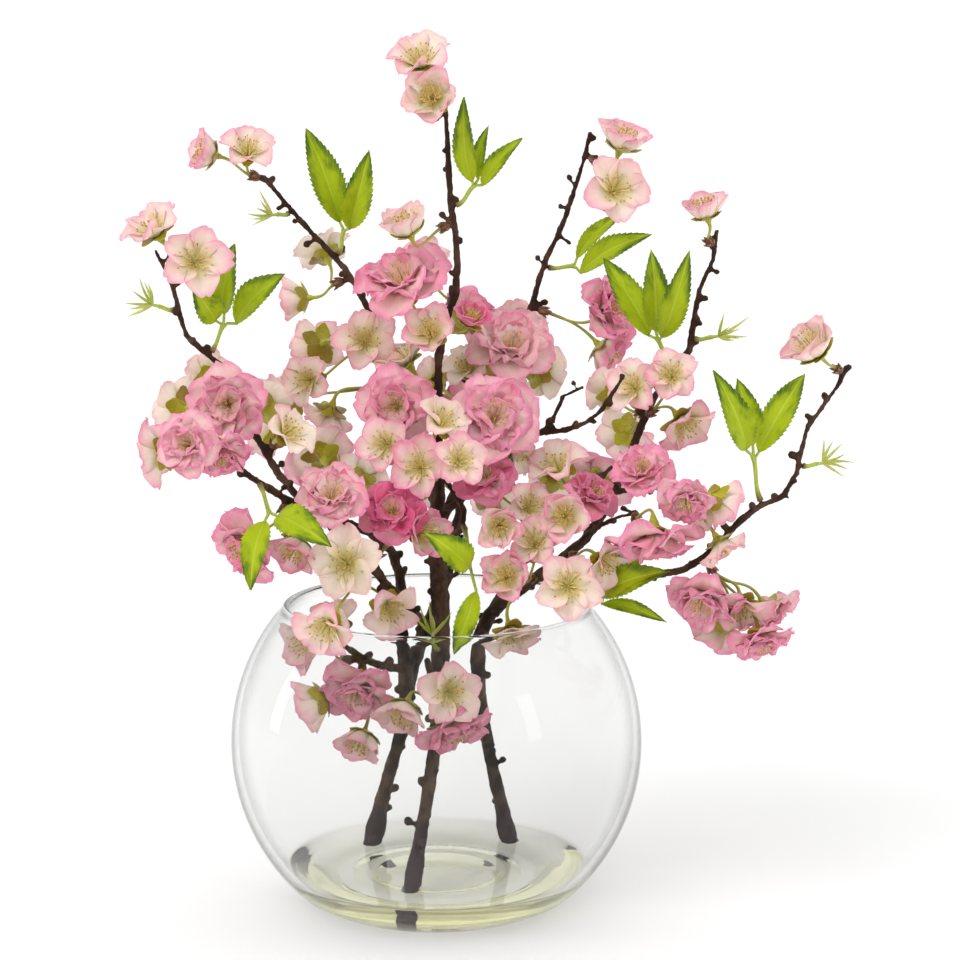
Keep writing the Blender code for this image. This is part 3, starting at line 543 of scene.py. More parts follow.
def tinted_finish(name, roughness, depth, **constants):
    """A finish that takes its colour from the piece's own tint, broken up by a fine grain."""
    made = Finish(name, roughness, **constants)
    tint = made.attribute("tint", "Color")
    grain = made.grain(made.place(), 900.0, 3.0, 0.6)
    darker = made.nodes.new("ShaderNodeHueSaturation")
    darker.inputs["Value"].default_value = 0.80
    made.feed(darker.inputs["Color"], tint)
    made.colour(made.blend(made.step(grain, 0.62, 0.38), tint, darker.outputs[0]))
    made.relief(grain, 0.4, depth)
    return made.material


def leaf_finish(settings):
    made = Finish(
        "leaf",
        0.5,
        Subsurface_Weight=0.25,
        Subsurface_Radius=(0.7, 1.0, 0.25),
        Subsurface_Scale=1.0 * MM,
        Specular_IOR_Level=0.22,
    )
    across, up, chance = made.parts(made.attribute("petal", "Vector"))
    side = made.maths("ABSOLUTE", across)
    rib = made.step(side, 0.13, 0.02)
    slant = made.maths("SUBTRACT", made.times(up, 9.0), made.times(side, 2.6))
    vein = made.step(made.maths("SINE", made.times(slant, math.tau)), 0.80, 1.0)
    cloud = made.grain(made.vector(made.times(across, 0.7), made.times(up, 2.0), chance), 2.4, 3.0)
    edge = made.maths("ADD", made.times(side, 0.55), made.times(up, 0.62))
    edge = made.maths("ADD", edge, made.times(made.maths("SUBTRACT", cloud, 0.5), 1.1))
    green = made.blend(made.step(edge, 0.44, 1.10), settings.leaf_colour, settings.leaf_edge_colour)
    lines = made.maths("MAXIMUM", rib, made.times(vein, 0.30))
    made.colour(made.blend(made.times(lines, 0.75), green, settings.rib_colour))
    made.relief(made.maths("SUBTRACT", 1.0, lines), 0.5, 0.35 * MM)
    return made.material


def bark_finish(settings):
    made = Finish("bark", 0.66, Specular_IOR_Level=0.2)
    place = made.place()
    height = made.parts(place)[2]
    stretched = made.nodes.new("ShaderNodeMapping")
    stretched.inputs["Scale"].default_value = (1.0, 1.0, 0.32)
    made.feed(stretched.inputs["Vector"], place)
    streaks = made.grain(stretched.outputs[0], 260.0, 5.0, 0.62, 0.4)
    patches = made.grain(place, 62.0, 4.0, 0.6, 0.3)
    fine = made.grain(place, 900.0, 4.0, 0.65)
    low = made.step(height, 0.215, 0.120)
    twig = made.blend(made.step(patches, 0.42, 0.66), settings.bark_colour, settings.bark_light_colour)
    stem = made.blend(made.step(patches, 0.36, 0.60), settings.stem_colour, settings.stem_light_colour)
    foot = made.step(made.scaled(patches, 0.03, height), 0.066, 0.052)
    base = made.blend(foot, made.blend(low, twig, stem), settings.foot_colour)
    spots = made.times(made.step(streaks, 0.50, 0.36), 0.60)
    flecks = made.times(made.step(fine, 0.60, 0.72), 0.30)
    made.colour(made.blend(flecks, made.blend(spots, base, settings.bark_colour), settings.stem_light_colour))
    made.relief(made.maths("ADD", streaks, made.times(fine, 0.6)), 0.8, 0.7 * MM)
    return made.material


def clear_finish(name, roughness, index, colour, painted_edge_shade_colour):
    """Clear glass or resin that lets the lamps' light through to what it holds, with its colour turned darker
    where it is seen edge-on: a painted shade at its edges.
    """
    tint = (0.28, 0.28, 0.28, 1.0)
    made = Finish(name, roughness, Transmission_Weight=1.0, IOR=index, Specular_Tint=tint)
    slant = made.nodes.new("ShaderNodeLayerWeight").outputs["Facing"]
    low = made.step(made.parts(made.place())[2], RESIN_TOP * MM, 0.5 * RESIN_TOP * MM)
    body = made.blend(low, colour, (1.0, 1.0, 1.0))
    # Painted shade: where the surface is seen edge-on, its colour turns to the dark edge colour, standing in
    # for the grey edges that reflections of the room give
    made.colour(made.blend(made.step(slant, 0.60, 0.95), body, painted_edge_shade_colour))
    either = made.nodes.new("ShaderNodeMixShader")
    path = made.nodes.new("ShaderNodeLightPath")
    made.feed(either.inputs[0], path.outputs["Is Shadow Ray"])
    made.feed(either.inputs[1], made.surface.outputs[0])
    made.feed(either.inputs[2], made.nodes.new("ShaderNodeBsdfTransparent").outputs[0])
    made.feed(made.nodes["Material Output"].inputs["Surface"], either.outputs[0])
    return made


# Settings


def colour_setting(name, description, default):
    return FloatVectorProperty(
        name=name, description=description, default=default, size=3, min=0.0, max=1.0, subtype="COLOR"
    )


def length_setting(name, description, millimetres):
    return FloatProperty(
        name=name, description=description, default=millimetres * MM, unit="LENGTH", subtype="DISTANCE"
    )


def number_setting(name, description, default, low=0, high=1000, kind=FloatProperty):
    return kind(name=name, description=description, default=default, min=low, max=high)


class BlossomSettings(bpy.types.PropertyGroup):
    """Sizes and colours of the blossoms."""

    petal_thickness: length_setting("Petal Thickness", "How thick a petal is", 0.28)
    ruffle: number_setting("Ruffle", "How much the petals ruffle", 1.0, 0, 3)
    stamens: number_setting("Stamens", "Stamens in a single blossom", 26, 0, 60, IntProperty)
    heart_colour: colour_setting("Heart", "The petals where they meet", (0.70, 0.63, 0.17))
    cream_colour: colour_setting("Cream", "The inner part of the petals", (0.92, 0.82, 0.64))
    pink_colour: colour_setting("Pink", "The margins of the petals", (0.85, 0.288, 0.41))
    deep_colour: colour_setting("Deep Pink", "The hearts of the pinkest blossoms", (0.68, 0.065, 0.19))
    rim_colour: colour_setting("Rim", "The very margins of the petals", (0.66, 0.13, 0.27))
    double_heart_colour: colour_setting("Double Heart", "The depths of double blossoms", (0.93, 0.52, 0.50))
    filament_colour: colour_setting("Filament", "The threads of the stamens", (0.90, 0.70, 0.24))
    anther_colour: colour_setting("Anther", "The tips of the stamens", (0.46, 0.22, 0.04))
    sepal_colour: colour_setting("Sepal", "The sepals", (0.46, 0.43, 0.010))
    sepal_red_colour: colour_setting("Red Sepal", "The reddest sepals", (0.27, 0.155, 0.012))
    stalk_colour: colour_setting("Stalk", "The stalks near the blossoms", (0.42, 0.42, 0.08))
    scale_colour: colour_setting("Bud Scale", "The bud scales at the wood", (0.13, 0.045, 0.02))


class LeafSettings(bpy.types.PropertyGroup):
    """Sizes and colours of the leaves."""

    leaf_thickness: length_setting("Leaf Thickness", "How thick a leaf is", 0.45)
    serration: number_setting("Serration", "How deep the teeth of the margin are", 0.13, 0, 0.3)
    leaf_colour: colour_setting("Leaf", "The leaves", (0.37, 0.46, 0.003))
    leaf_edge_colour: colour_setting("Leaf Edge", "The tips and margins", (0.060, 0.125, 0.004))
    rib_colour: colour_setting("Rib", "The ribs", (0.48, 0.56, 0.06))
    shoot_colour: colour_setting("Shoot", "The young shoots", (0.42, 0.52, 0.06))


class WoodSettings(bpy.types.PropertyGroup):
    """Grain and colours of the wood."""

    cell: length_setting("Cell", "Size of the wood's mesh cells", 0.72)
    knots: length_setting("Knots", "How far the bark swells and dips", 0.62)
    foot_swell: length_setting("Foot Swell", "How far the feet swell", 0.9)
    slimming: length_setting("Slimming", "How much thinner the twigs are", 0.48)
    bud_spacing: length_setting("Bud Spacing", "Least distance between buds", 10)
    thinnest: length_setting("Thinnest", "Thinnest wood with buds", 2)
    thickest: length_setting("Thickest", "Thickest wood with buds", 9)
    bark_colour: colour_setting("Bark", "The dark bark", (0.032, 0.012, 0.006))
    bark_light_colour: colour_setting("Light Bark", "Lighter patches on the twigs", (0.090, 0.044, 0.026))
    stem_colour: colour_setting("Stem", "The stems inside the bowl", (0.018, 0.011, 0.007))
    foot_colour: colour_setting("Foot", "The sealed feet of the stems", (0.058, 0.040, 0.042))
    stem_light_colour: colour_setting("Light Stem", "Lighter patches on the stems", (0.112, 0.074, 0.044))


class VaseSettings(bpy.types.PropertyGroup):
    """Smoothness of the glass and tint of the resin."""

    steps: number_setting("Steps", "Facets round the vase", 144, 12, 360, IntProperty)
    resin_colour: colour_setting("Resin", "The tint of the resin", (0.93, 0.935, 0.55))


class StudioSettings(bpy.types.PropertyGroup):
    """Light and camera."""

    sun: number_setting("Sun", "Strength of the wide soft main light", 1.1)
    window: number_setting("Window", "Power of each window light, in watts", 1.6)
    sky: number_setting("Sky", "Strength of the light all round", 0.95)
    lens: number_setting("Lens", "Focal length in millimetres", 131.2, 1)


# Petals


def petal_line(tilts, length, start):
    """Points (out, up, tilt) along the middle of a petal, from its base to its tip."""
    out, up = start, 0.0
    line = []
    for k in range(PETAL_LINE_STEPS + 1):
        tilt = math.radians(along(tilts, k / PETAL_LINE_STEPS))
        line.append(Vector((out, up, tilt)))
        out += length / PETAL_LINE_STEPS * math.cos(tilt)
        up += length / PETAL_LINE_STEPS * math.sin(tilt)
    return line


def add_petal(shape, blossom, turn, whorl, chance, layers, ruffle):
    """One petal: a grid bent up along its middle, cupped across, ruffled and notched."""
    length, half, tilts, cupping, ruffles, extra, across, steps = whorl
    width = blossom.width
    length *= width * chance.uniform(0.94, 1.06)
    half *= width * chance.uniform(0.93, 1.07)
    loose = 1.7 if blossom.form == "double" else 1.0
    lean = chance.uniform(-7, 7) * loose
    curl = chance.uniform(-18, 8) * loose
    tilts = (tilts[0], tilts[1] + lean, tilts[2] + lean + curl * 0.4, tilts[2] + lean + curl)
    line = petal_line(tilts, length, 0.035 * width)
    twist = math.radians(9 + chance.uniform(-5, 5))
    cupping *= chance.uniform(0.7, 1.3)
    notch = chance.uniform(0.03, 0.11)
    outward = blossom.towards(turn)
    sideways = blossom.axis.cross(outward)
    seed = chance.uniform(0, 100)
    amount = ruffles * width * ruffle
    blush = blossom.blush + extra * (0.4 + blossom.blush) + chance.uniform(-0.12, 0.12)
    sway = chance.uniform(-0.06, 0.06)
    tone = chance.random() + (blossom.form == "double")
    made = bmesh.ops.create_grid(shape, x_segments=across, y_segments=steps, size=1.0)
    for vert in made["verts"]:
        u, v = vert.co.x, (vert.co.y + 1) / 2
        cut = notch * math.exp(-((u / 0.20) ** 2)) * v**6
        frill = 0.5 * ruffles * noise.noise(Vector((u * 5 + seed, seed, 0))) * v**4
        share = v * (1 - 0.15 * u * u * v) - cut + frill
        out, up, tilt = along(line, share)
        normal = blossom.axis * math.cos(tilt) - outward * math.sin(tilt)
        reach = half * along(PETAL_WIDTHS, v) * u
        waves = noise.noise(Vector((u * 1.7 + seed, v * 2.1, seed))) + 0.5 * noise.noise(
            Vector((u * 4.1, v * 3.7 + seed, seed))
        )
        lift = cupping * reach * reach / half + amount * waves * (0.25 + v * v + 0.5 * abs(u) * v)
        middle = blossom.base + outward * out + blossom.axis * up
        slide = sideways * math.cos(twist) + normal * math.sin(twist)
        vert.co = middle + slide * (reach + sway * length * v * v) + normal * lift
        vert[layers[0]] = Vector((u, v, blush))
        vert[layers[1]] = tone


def petal_layers(shape):
    return shape.verts.layers.float_vector.new("petal"), shape.verts.layers.float.new("tone")


def petals_of(blossoms, name, settings):
    shape = bmesh.new()
    layers = petal_layers(shape)
    for blossom in blossoms:
        chance = random.Random(f"{name} {blossom.base.x:.4f}")
        offset = 0.0
        for whorl in WHORLS[blossom.form]:
            for k in range(PETALS):
                turn = offset + math.tau * k / PETALS + chance.uniform(-0.08, 0.08)
                add_petal(shape, blossom, turn, whorl, chance, layers, settings.ruffle)
            offset += math.radians(36 + chance.uniform(-8, 8))
    thicken(shape, settings.petal_thickness)
    return finished_mesh(shape, name)


# Stamens, calyxes and stalks


def painter(shape):
    """Paints vertices with a colour that the finish reads."""
    layer = shape.verts.layers.float_color.new("tint")

    def paint(verts, colour):
        for vert in verts:
            vert[layer] = (*colour[:3], 1.0)

    return paint


def mixed(first, second, share):
    return Vector(first).lerp(Vector(second), share)


def stamens_of(blossoms, name, settings):
    shape = bmesh.new()
    paint = painter(shape)
    thread, tips = Vector(settings.filament_colour), Vector(settings.anther_colour)
    for blossom in blossoms:
        chance = random.Random(f"{name} stamens {blossom.base.x:.4f}")
        width = blossom.width
        heart = blossom.base + blossom.axis * 0.03 * width
        count = settings.stamens if blossom.form != "double" else settings.stamens // 2
        reach, widest = STAMENS[blossom.form]
        reach *= width
        for k in range(count):
            turn = k * GOLDEN_ANGLE + chance.uniform(-0.2, 0.2)
            lean = widest * math.sqrt((k + 0.5) / count) + chance.uniform(-0.08, 0.08)
            outward = blossom.towards(turn)
            way = (blossom.axis * math.cos(lean) + outward * math.sin(lean)).normalized()
            start = heart + outward * 0.028 * width
            length = reach * chance.uniform(0.82, 1.08)
            end = start + way * length
            bow = (start + end) / 2 + outward * length * 0.07
            lit = mixed(thread, (0.95, 0.90, 0.60), chance.uniform(0.0, 0.5))
            sweep(shape, [start, bow, end], taper((0.30, 0.25, 0.20), 2), 3, paint, lit)
            tint = mixed(tips, thread, chance.uniform(0.0, 0.7))
            paint(bead(shape, end, way, 0.42 * MM, 0.62 * MM, 1), tint)
        top = heart + blossom.axis * reach * 0.92
        sweep(shape, [heart, top], taper((0.45, 0.28), 1), 5, paint, PISTIL_COLOUR)
        paint(bead(shape, top, blossom.axis, 0.5 * MM, 0.5 * MM, 1), PISTIL_COLOUR)
    return finished_mesh(shape, name)


def add_sepal(shape, blossom, turn, chance, paint, colour):
    """A sepal: a small pointed grid that lies along the outside of the petals."""
    width = blossom.width
    length = width * 0.37 * chance.uniform(0.85, 1.1)
    half = width * 0.150 * chance.uniform(0.9, 1.1)
    tilts = [tilt + chance.uniform(-5, 5) for tilt in SEPAL_TILTS[blossom.form]]
    line = petal_line(tilts, length, 0.050 * width)
    outward = blossom.towards(turn)
    sideways = blossom.axis.cross(outward)
    below = blossom.base - blossom.axis * 0.030 * width
    made = bmesh.ops.create_grid(shape, x_segments=4, y_segments=6, size=1.0)
    for vert in made["verts"]:
        u, v = vert.co.x, (vert.co.y + 1) / 2
        out, up, tilt = along(line, v * (1 - 0.26 * u * u * v))
        normal = blossom.axis * math.cos(tilt) - outward * math.sin(tilt)
        reach = half * along(SEPAL_WIDTHS, v) * u
        lift = 0.20 * reach * reach / half - 0.9 * MM * v
        vert.co = below + outward * out + blossom.axis * up + sideways * reach + normal * lift
        paint([vert], colour)


def stalks_of(blossoms, middle, way, name, settings):
    """The bud scales at the wood, and each blossom's stalk, calyx and sepals."""
    shape = bmesh.new()
    paint = painter(shape)
    chance = random.Random(f"{name} stalks")
    green, brown = Vector(settings.stalk_colour), Vector(settings.scale_colour)
    for blossom in blossoms:
        for k in range(PETALS):
            turn = math.tau * (k + 0.5) / PETALS + chance.uniform(-0.1, 0.1)
            colour = mixed(settings.sepal_colour, settings.sepal_red_colour, chance.random() ** 2)
            add_sepal(shape, blossom, turn, chance, paint, colour)
    thicken(shape, 0.35 * MM)
    root = middle + way * 1.4 * MM
    for blossom in blossoms:
        width = blossom.width
        foot = blossom.foot
        line = curve(root, way, foot, blossom.axis, STALK_STEPS)
        radii = taper((1.0, 0.72, 0.68, 0.72, 0.95), STALK_STEPS)
        low, high = mixed(brown, green, 0.25), mixed(green, settings.sepal_colour, 0.3)
        sweep(shape, line, radii, 7, paint, lambda i: mixed(low, high, min(1.0, i / STALK_STEPS * 2.2)))
        bell = [foot + blossom.axis * s * width for s in (-0.02, 0.04, 0.09, 0.13, 0.16, 0.19)]
        radii = [r * width for r in (0.028, 0.046, 0.066, 0.074, 0.080, 0.062)]
        sweep(shape, bell, radii, 10, paint, mixed(settings.sepal_colour, settings.stalk_colour, 0.35))
    start = middle - way * 1.6 * MM
    line = [start + way * d * MM for d in (0.0, 1.4, 2.8, 4.2, 5.4)]
    sweep(shape, line, taper((1.7, 2.35, 2.25, 1.8, 1.1), 4), 9, paint, brown)
    side = way.orthogonal().normalized()
    for k in range(7):
        around = Matrix.Rotation(k * GOLDEN_ANGLE, 3, way) @ side
        lean = (way * 1.0 + around * chance.uniform(0.30, 0.65)).normalized()
        seat = start + way * (0.5 + 0.45 * k) * MM + around * 1.3 * MM
        line = [seat, seat + lean * 2.1 * MM, seat + lean * 3.9 * MM]
        tint = mixed(brown, (0.30, 0.13, 0.04), chance.random())
        sweep(shape, line, taper((0.95, 0.8, 0.15), 2), 5, paint, tint)
    return finished_mesh(shape, name)


# Leaves and shoots


def add_leaf(shape, sections, layers, settings, chance):
    """A serrated leaf along the sections of its stand-in, folded a little at the midrib."""
    tip = sections[0][0]
    middles, sides, halves = [tip], [], []
    for section in sections[1:]:
        pairs = [(a, b) for i, a in enumerate(section) for b in section[i + 1 :]]
        left, right = max(pairs, key=lambda pair: (pair[0] - pair[1]).length)
        across = (left - right).normalized()
        if sides and across.dot(sides[-1]) < 0:
            across = -across
        middles.append((left + right) / 2)
        sides.append(across)
        halves.append((left - right).length / 2)
    base = middles[-1]
    side = sum(sides, Vector()).normalized()
    bend = middles[2] * 2 - (base + tip) / 2
    half = max(halves) * 1.02
    fold = chance.uniform(0.34, 0.58)
    seed = chance.uniform(0, 100)
    tone = chance.random()
    droop = chance.uniform(-0.04, 0.10)
    run = tip - base
    facing = run.cross(side).normalized()
    if facing.dot(middles[1] - middle_of(sections[1])) < 0:
        facing = -facing
    teeth = max(10, round(run.length / (2.6 * MM)))
    made = bmesh.ops.create_grid(shape, x_segments=8, y_segments=teeth * 3, size=1.0)
    for vert in made["verts"]:
        u, v = vert.co.x, (vert.co.y + 1) / 2
        tooth = round(v * teeth * 3) % 3 / 2 * abs(u) ** 6
        v = min(1.0, v + 0.3 * tooth / teeth)
        spot = base * (1 - v) ** 2 + bend * 2 * v * (1 - v) + tip * v * v
        body = math.sin(math.pi * min(1.0, v**0.80)) ** 0.80 if 0 < v < 1 else 0.0
        body = max(body, 0.06 * (1 - v))
        saw = 1 + settings.serration * (tooth - 0.3)
        reach = half * body * u * saw
        lift = fold * abs(reach) + half * 0.16 * noise.noise(Vector((u * 0.8 + seed, v * 3.2, seed)))
        lift -= droop * run.length * v * v
        vert.co = spot + side * reach + facing * lift
        vert[layers[0]] = Vector((u, v, tone * 30))
        vert[layers[1]] = tone


def stalk_of_spray(shape, middle, way, ends, paint, brown, green):
    """A short green stalk from the wood that parts towards the bases of the leaves or shoots."""
    start = middle - way * 1.2 * MM
    fork = start.lerp(middle_of(ends), 0.72)
    lean = (fork - start).normalized()
    line = curve(start, way, fork, lean, SPRAY_STEPS)
    radii = taper((1.6, 1.05, 1.0, 1.15), SPRAY_STEPS)
    sweep(shape, line, radii, 8, paint, lambda i: mixed(brown, green, min(1, i / 3)))
    for end in ends:
        out = (end - fork).normalized()
        bend = fork + (lean + out) * (end - fork).length * 0.25
        line = [fork - lean * 0.8 * MM, bend, end, end + out * 0.8 * MM]
        sweep(shape, line, taper((0.9, 0.8, 0.7, 0.4), 3), 7, paint, green)


class SPRIG_OT_wood(bpy.types.Operator):
    """Add the wood of the sprigs, rounded and given bark"""

    bl_idname = "sprig.add_wood"
    bl_label = "Add Wood"

    def execute(self, context):
        settings = context.scene.sprig_wood
        finish = bark_finish(settings)
        for name in SPRIGS:
            mesh = self.grown(merged_copy(name), settings)
            add_piece(f"{name}_wood", mesh, finish, [name])
        return {"FINISHED"}

    def add_buds(self, shape, settings, chance):
        """Round-headed buds on short stubs, spaced out over the thinner wood."""
        surface = BVHTree.FromBMesh(shape)
        places = []
        for face in sorted(shape.faces, key=lambda f: chance.random()):
            spot, out = face.calc_center_median(), face.normal
            far = surface.ray_cast(spot - out * 0.05 * MM, -out)[0]
            if far is None or not settings.thinnest < (far - spot).length < settings.thickest:
                continue
            if any((spot - other).length < settings.bud_spacing for other in places):
                continue
            if spot.z < RIM_HEIGHT * MM and chance.random() < 0.9:
                continue
            places.append(spot)
            way = (out + Vector((0, 0, chance.uniform(0.1, 0.9)))).normalized()
            size = chance.uniform(0.9, 1.35)
            reach = chance.choice((1.0, 1.6, 2.4, 4.4)) * MM
            end = spot + way * reach
            sweep(shape, [spot - out * 1.2 * MM, spot, end], [1.15 * MM * size] * 3, 6)
            bead(shape, end, way, 1.8 * MM * size, 2.1 * MM * size, 2)

    def grown(self, shape, settings):
        self.add_buds(shape, settings, random.Random(len(shape.verts)))
        rough = bpy.data.objects.new("rough", finished_mesh(shape, "rough"))
        bpy.context.scene.collection.objects.link(rough)
        cells = rough.modifiers.new("cells", "REMESH")
        cells.mode = "VOXEL"
        cells.voxel_size = settings.cell
        smooth = rough.modifiers.new("smooth", "SMOOTH")
        smooth.factor = 0.5
        smooth.iterations = 5
        graph = bpy.context.evaluated_depsgraph_get()
        mesh = bpy.data.meshes.new_from_object(rough.evaluated_get(graph))
        bpy.data.objects.remove(rough)
        shape = bmesh.new()
        shape.from_mesh(mesh)
        shape.normal_update()
        moved = []
        for vert in shape.verts:
            place = vert.co / MM
            swell = noise.noise(place * 0.11) + 0.7 * noise.noise(place * 0.31)
            ridge = 0.45 * noise.noise(Vector((place.x * 0.9, place.y * 0.9, place.z * 0.35)))
            slim = settings.slimming * along((0.0, 1.0), (place.z - 130) / 60)
            slim -= settings.foot_swell * along((0.2, 1.0, 0.4, 0.0), (place.z - 18) / 24)
            push = 0.16 * MM - slim + settings.knots * (swell * 0.8 + ridge)
            moved.append(vert.co + vert.normal * push)
        for vert, place in zip(shape.verts, moved):
            vert.co = place
        shape.to_mesh(mesh)
        shape.free()
        return mesh


class SPRIG_OT_blossoms(bpy.types.Operator):
    """Add the petals of every cluster of blossoms"""

    bl_idname = "sprig.add_blossoms"
    bl_label = "Add Petals"

    def execute(self, context):
        settings = context.scene.sprig_blossoms
        finish = petal_finish(settings)
        for name in cluster_names():
            blossoms = cluster(name)[0]
            add_piece(f"{name}_petals", petals_of(blossoms, name, settings), finish, [name])
        return {"FINISHED"}


class SPRIG_OT_stamens(bpy.types.Operator):
    """Add the stamens and pistils of every cluster"""

    bl_idname = "sprig.add_stamens"
    bl_label = "Add Stamens"

    def execute(self, context):
        settings = context.scene.sprig_blossoms
        finish = tinted_finish("stamen", 0.6, 0.1 * MM, Subsurface_Weight=0.2, Subsurface_Scale=0.5 * MM)
        for name in cluster_names():
            add_piece(f"{name}_stamens", stamens_of(cluster(name)[0], name, settings), finish)
        return {"FINISHED"}


class SPRIG_OT_stalks(bpy.types.Operator):
    """Add the bud scales, stalks, calyxes and sepals of every cluster"""

    bl_idname = "sprig.add_stalks"
    bl_label = "Add Stalks"

    def execute(self, context):
        settings = context.scene.sprig_blossoms
        finish = tinted_finish("stalk", 0.36, 0.15 * MM, Subsurface_Weight=0.12, Subsurface_Scale=0.6 * MM)
        for name in cluster_names():
            add_piece(f"{name}_stalks", stalks_of(*cluster(name), name, settings), finish)
        return {"FINISHED"}


class SPRIG_OT_leaves(bpy.types.Operator):
    """Add the sprays of leaves and their stalks"""

    bl_idname = "sprig.add_leaves"
    bl_label = "Add Leaves"

    def execute(self, context):
        settings = context.scene.sprig_leaves
        finish = leaf_finish(settings)
        stalk = tinted_finish("leaf_stalk", 0.5, 0.15 * MM)
        brown = context.scene.sprig_blossoms.scale_colour
        for name in named("_leaves"):
            part = merged_copy(name)
            blades = read_blades(part, LEAF_SECTIONS)
            middle, way = read_peg(part, PEG_SIDES)
            part.free()
            if not blades:
                raise RuntimeError(f"{name} has no blade")
            chance = random.Random(name)
            shape = bmesh.new()
            layers = petal_layers(shape)
            ends = []
            for sections in blades:
                add_leaf(shape, sections, layers, settings, chance)
                ends.append(middle_of(sections[-1]))
            thicken(shape, settings.leaf_thickness)
            add_piece(f"{name}_blades", finished_mesh(shape, name), finish, [name])
            shape = bmesh.new()
            paint = painter(shape)
            stalk_of_spray(shape, middle, way, ends, paint, brown, settings.shoot_colour)
            add_piece(f"{name}_stalks", finished_mesh(shape, name), stalk)
        return {"FINISHED"}


class SPRIG_OT_shoots(bpy.types.Operator):
    """Add the tufts of young shoots"""

    bl_idname = "sprig.add_shoots"
    bl_label = "Add Shoots"

    def execute(self, context):
        settings = context.scene.sprig_leaves
        finish = tinted_finish("shoot", 0.5, 0.12 * MM, Subsurface_Weight=0.15, Subsurface_Scale=0.6 * MM)
        brown = context.scene.sprig_blossoms.scale_colour
        for name in named("_shoots"):
            part = merged_copy(name)
            blades = read_blades(part, SHOOT_SECTIONS)
            middle, way = read_peg(part, SHOOT_PEG_SIDES)
            part.free()
            if not blades:
                raise RuntimeError(f"{name} has no shoot")
            chance = random.Random(name)
            shape = bmesh.new()
            paint = painter(shape)
            green = Vector(settings.shoot_colour)
            hub = middle_of(middle_of(sections[-1]) for sections in blades)
            spears = [s[0][0] - hub for s in blades]
            spears += [(a + b) * chance.uniform(0.42, 0.50) for a, b in zip(spears, spears[1:])]
            for spear in spears:
                bow = spear.orthogonal().normalized() * chance.uniform(-1.2, 1.2) * MM
                line = [hub + spear * (k / 6) + bow * math.sin(math.pi * k / 6) for k in range(7)]
                colour = mixed(green, (0.66, 0.62, 0.20), chance.uniform(0, 0.6))
                sweep(shape, line, taper((0.45, 0.80, 0.70, 0.42, 0.10), 6), 6, paint, colour)
            stalk_of_spray(shape, middle, way, [hub], paint, brown, green)
            add_piece(f"{name}_spikes", finished_mesh(shape, name), finish, [name])
        return {"FINISHED"}


# Glass and resin


def arc(radius, middle, low, high, bands):
    """Points (radius, height) up the side of a ball round a middle, from one height to another."""
    start = math.asin((low - middle) / radius)
    stop = math.asin((high - middle) / radius)
    angles = [start + (stop - start) * k / bands for k in range(bands + 1)]
    return [(radius * math.cos(a), middle + radius * math.sin(a)) for a in angles]


def lathe(profile, steps):
    """A closed solid turned about the Z axis from a profile of (radius, height) with both ends on it."""
    shape = bmesh.new()
    verts = [shape.verts.new((r * MM, 0, z * MM)) for r, z in profile]
    edges = [shape.edges.new(pair) for pair in zip(verts, verts[1:])]
    bmesh.ops.spin(
        shape, geom=verts + edges, axis=(0, 0, 1), steps=steps, angle=math.tau, use_merge=True
    )
    bmesh.ops.remove_doubles(shape, verts=shape.verts, dist=0.001 * MM)
    return shape


def corner(first, middle, last, steps):
    """A rounded corner from one point to another, drawn towards the middle one."""
    shares = [k / steps for k in range(steps + 1)]
    weights = [((1 - t) ** 2, 2 * t * (1 - t), t * t) for t in shares]
    return [tuple(a * x + b * y + c * z for a, b, c in zip(first, middle, last)) for x, y, z in weights]


class SPRIG_OT_vase(bpy.types.Operator):
    """Add the glass bubble vase"""

    bl_idname = "sprig.add_vase"
    bl_label = "Add Vase"

    def execute(self, context):
        settings = context.scene.sprig_vase
        outside = arc(BALL_RADIUS, BALL_HEIGHT, BASE_CURVE_TOP - 3, RIM_HEIGHT, 44)
        inside = arc(BALL_RADIUS - WALL, INNER_HEIGHT, BASE_CURVE_TOP, RIM_HEIGHT, 44)
        top = (outside[-1][0] + inside[-1][0]) / 2
        round_lip = (outside[-1][0] - inside[-1][0]) / 2
        lip = [
            (top + round_lip * math.cos(a), RIM_HEIGHT + 0.8 * round_lip * math.sin(a))
            for a in [math.pi * k / 10 for k in range(1, 10)]
        ]
        under = [(0, 0.9), (30, 0.9), (31, 0.5), (32, 0.9), (40, 0.8), (43, 0.0)]
        foot = corner((BASE_RADIUS - 3, 0), (BASE_RADIUS + 2.5, 0), outside[0], 8)
        floor = corner(inside[0], (FLOOR_RADIUS + 2, FLOOR), (FLOOR_RADIUS - 6, FLOOR), 8)
        profile = under + foot + outside[1:] + lip + list(reversed(inside))[:-1] + floor + [(0, FLOOR)]
        mesh = finished_mesh(lathe(profile, settings.steps), "vase")
        made = clear_finish("glass", 0.0, 1.47, *GLASS_TINT_AND_PAINTED_EDGE_SHADE)
        add_piece("glass_bowl", mesh, made.material, ["vase"])
        return {"FINISHED"}


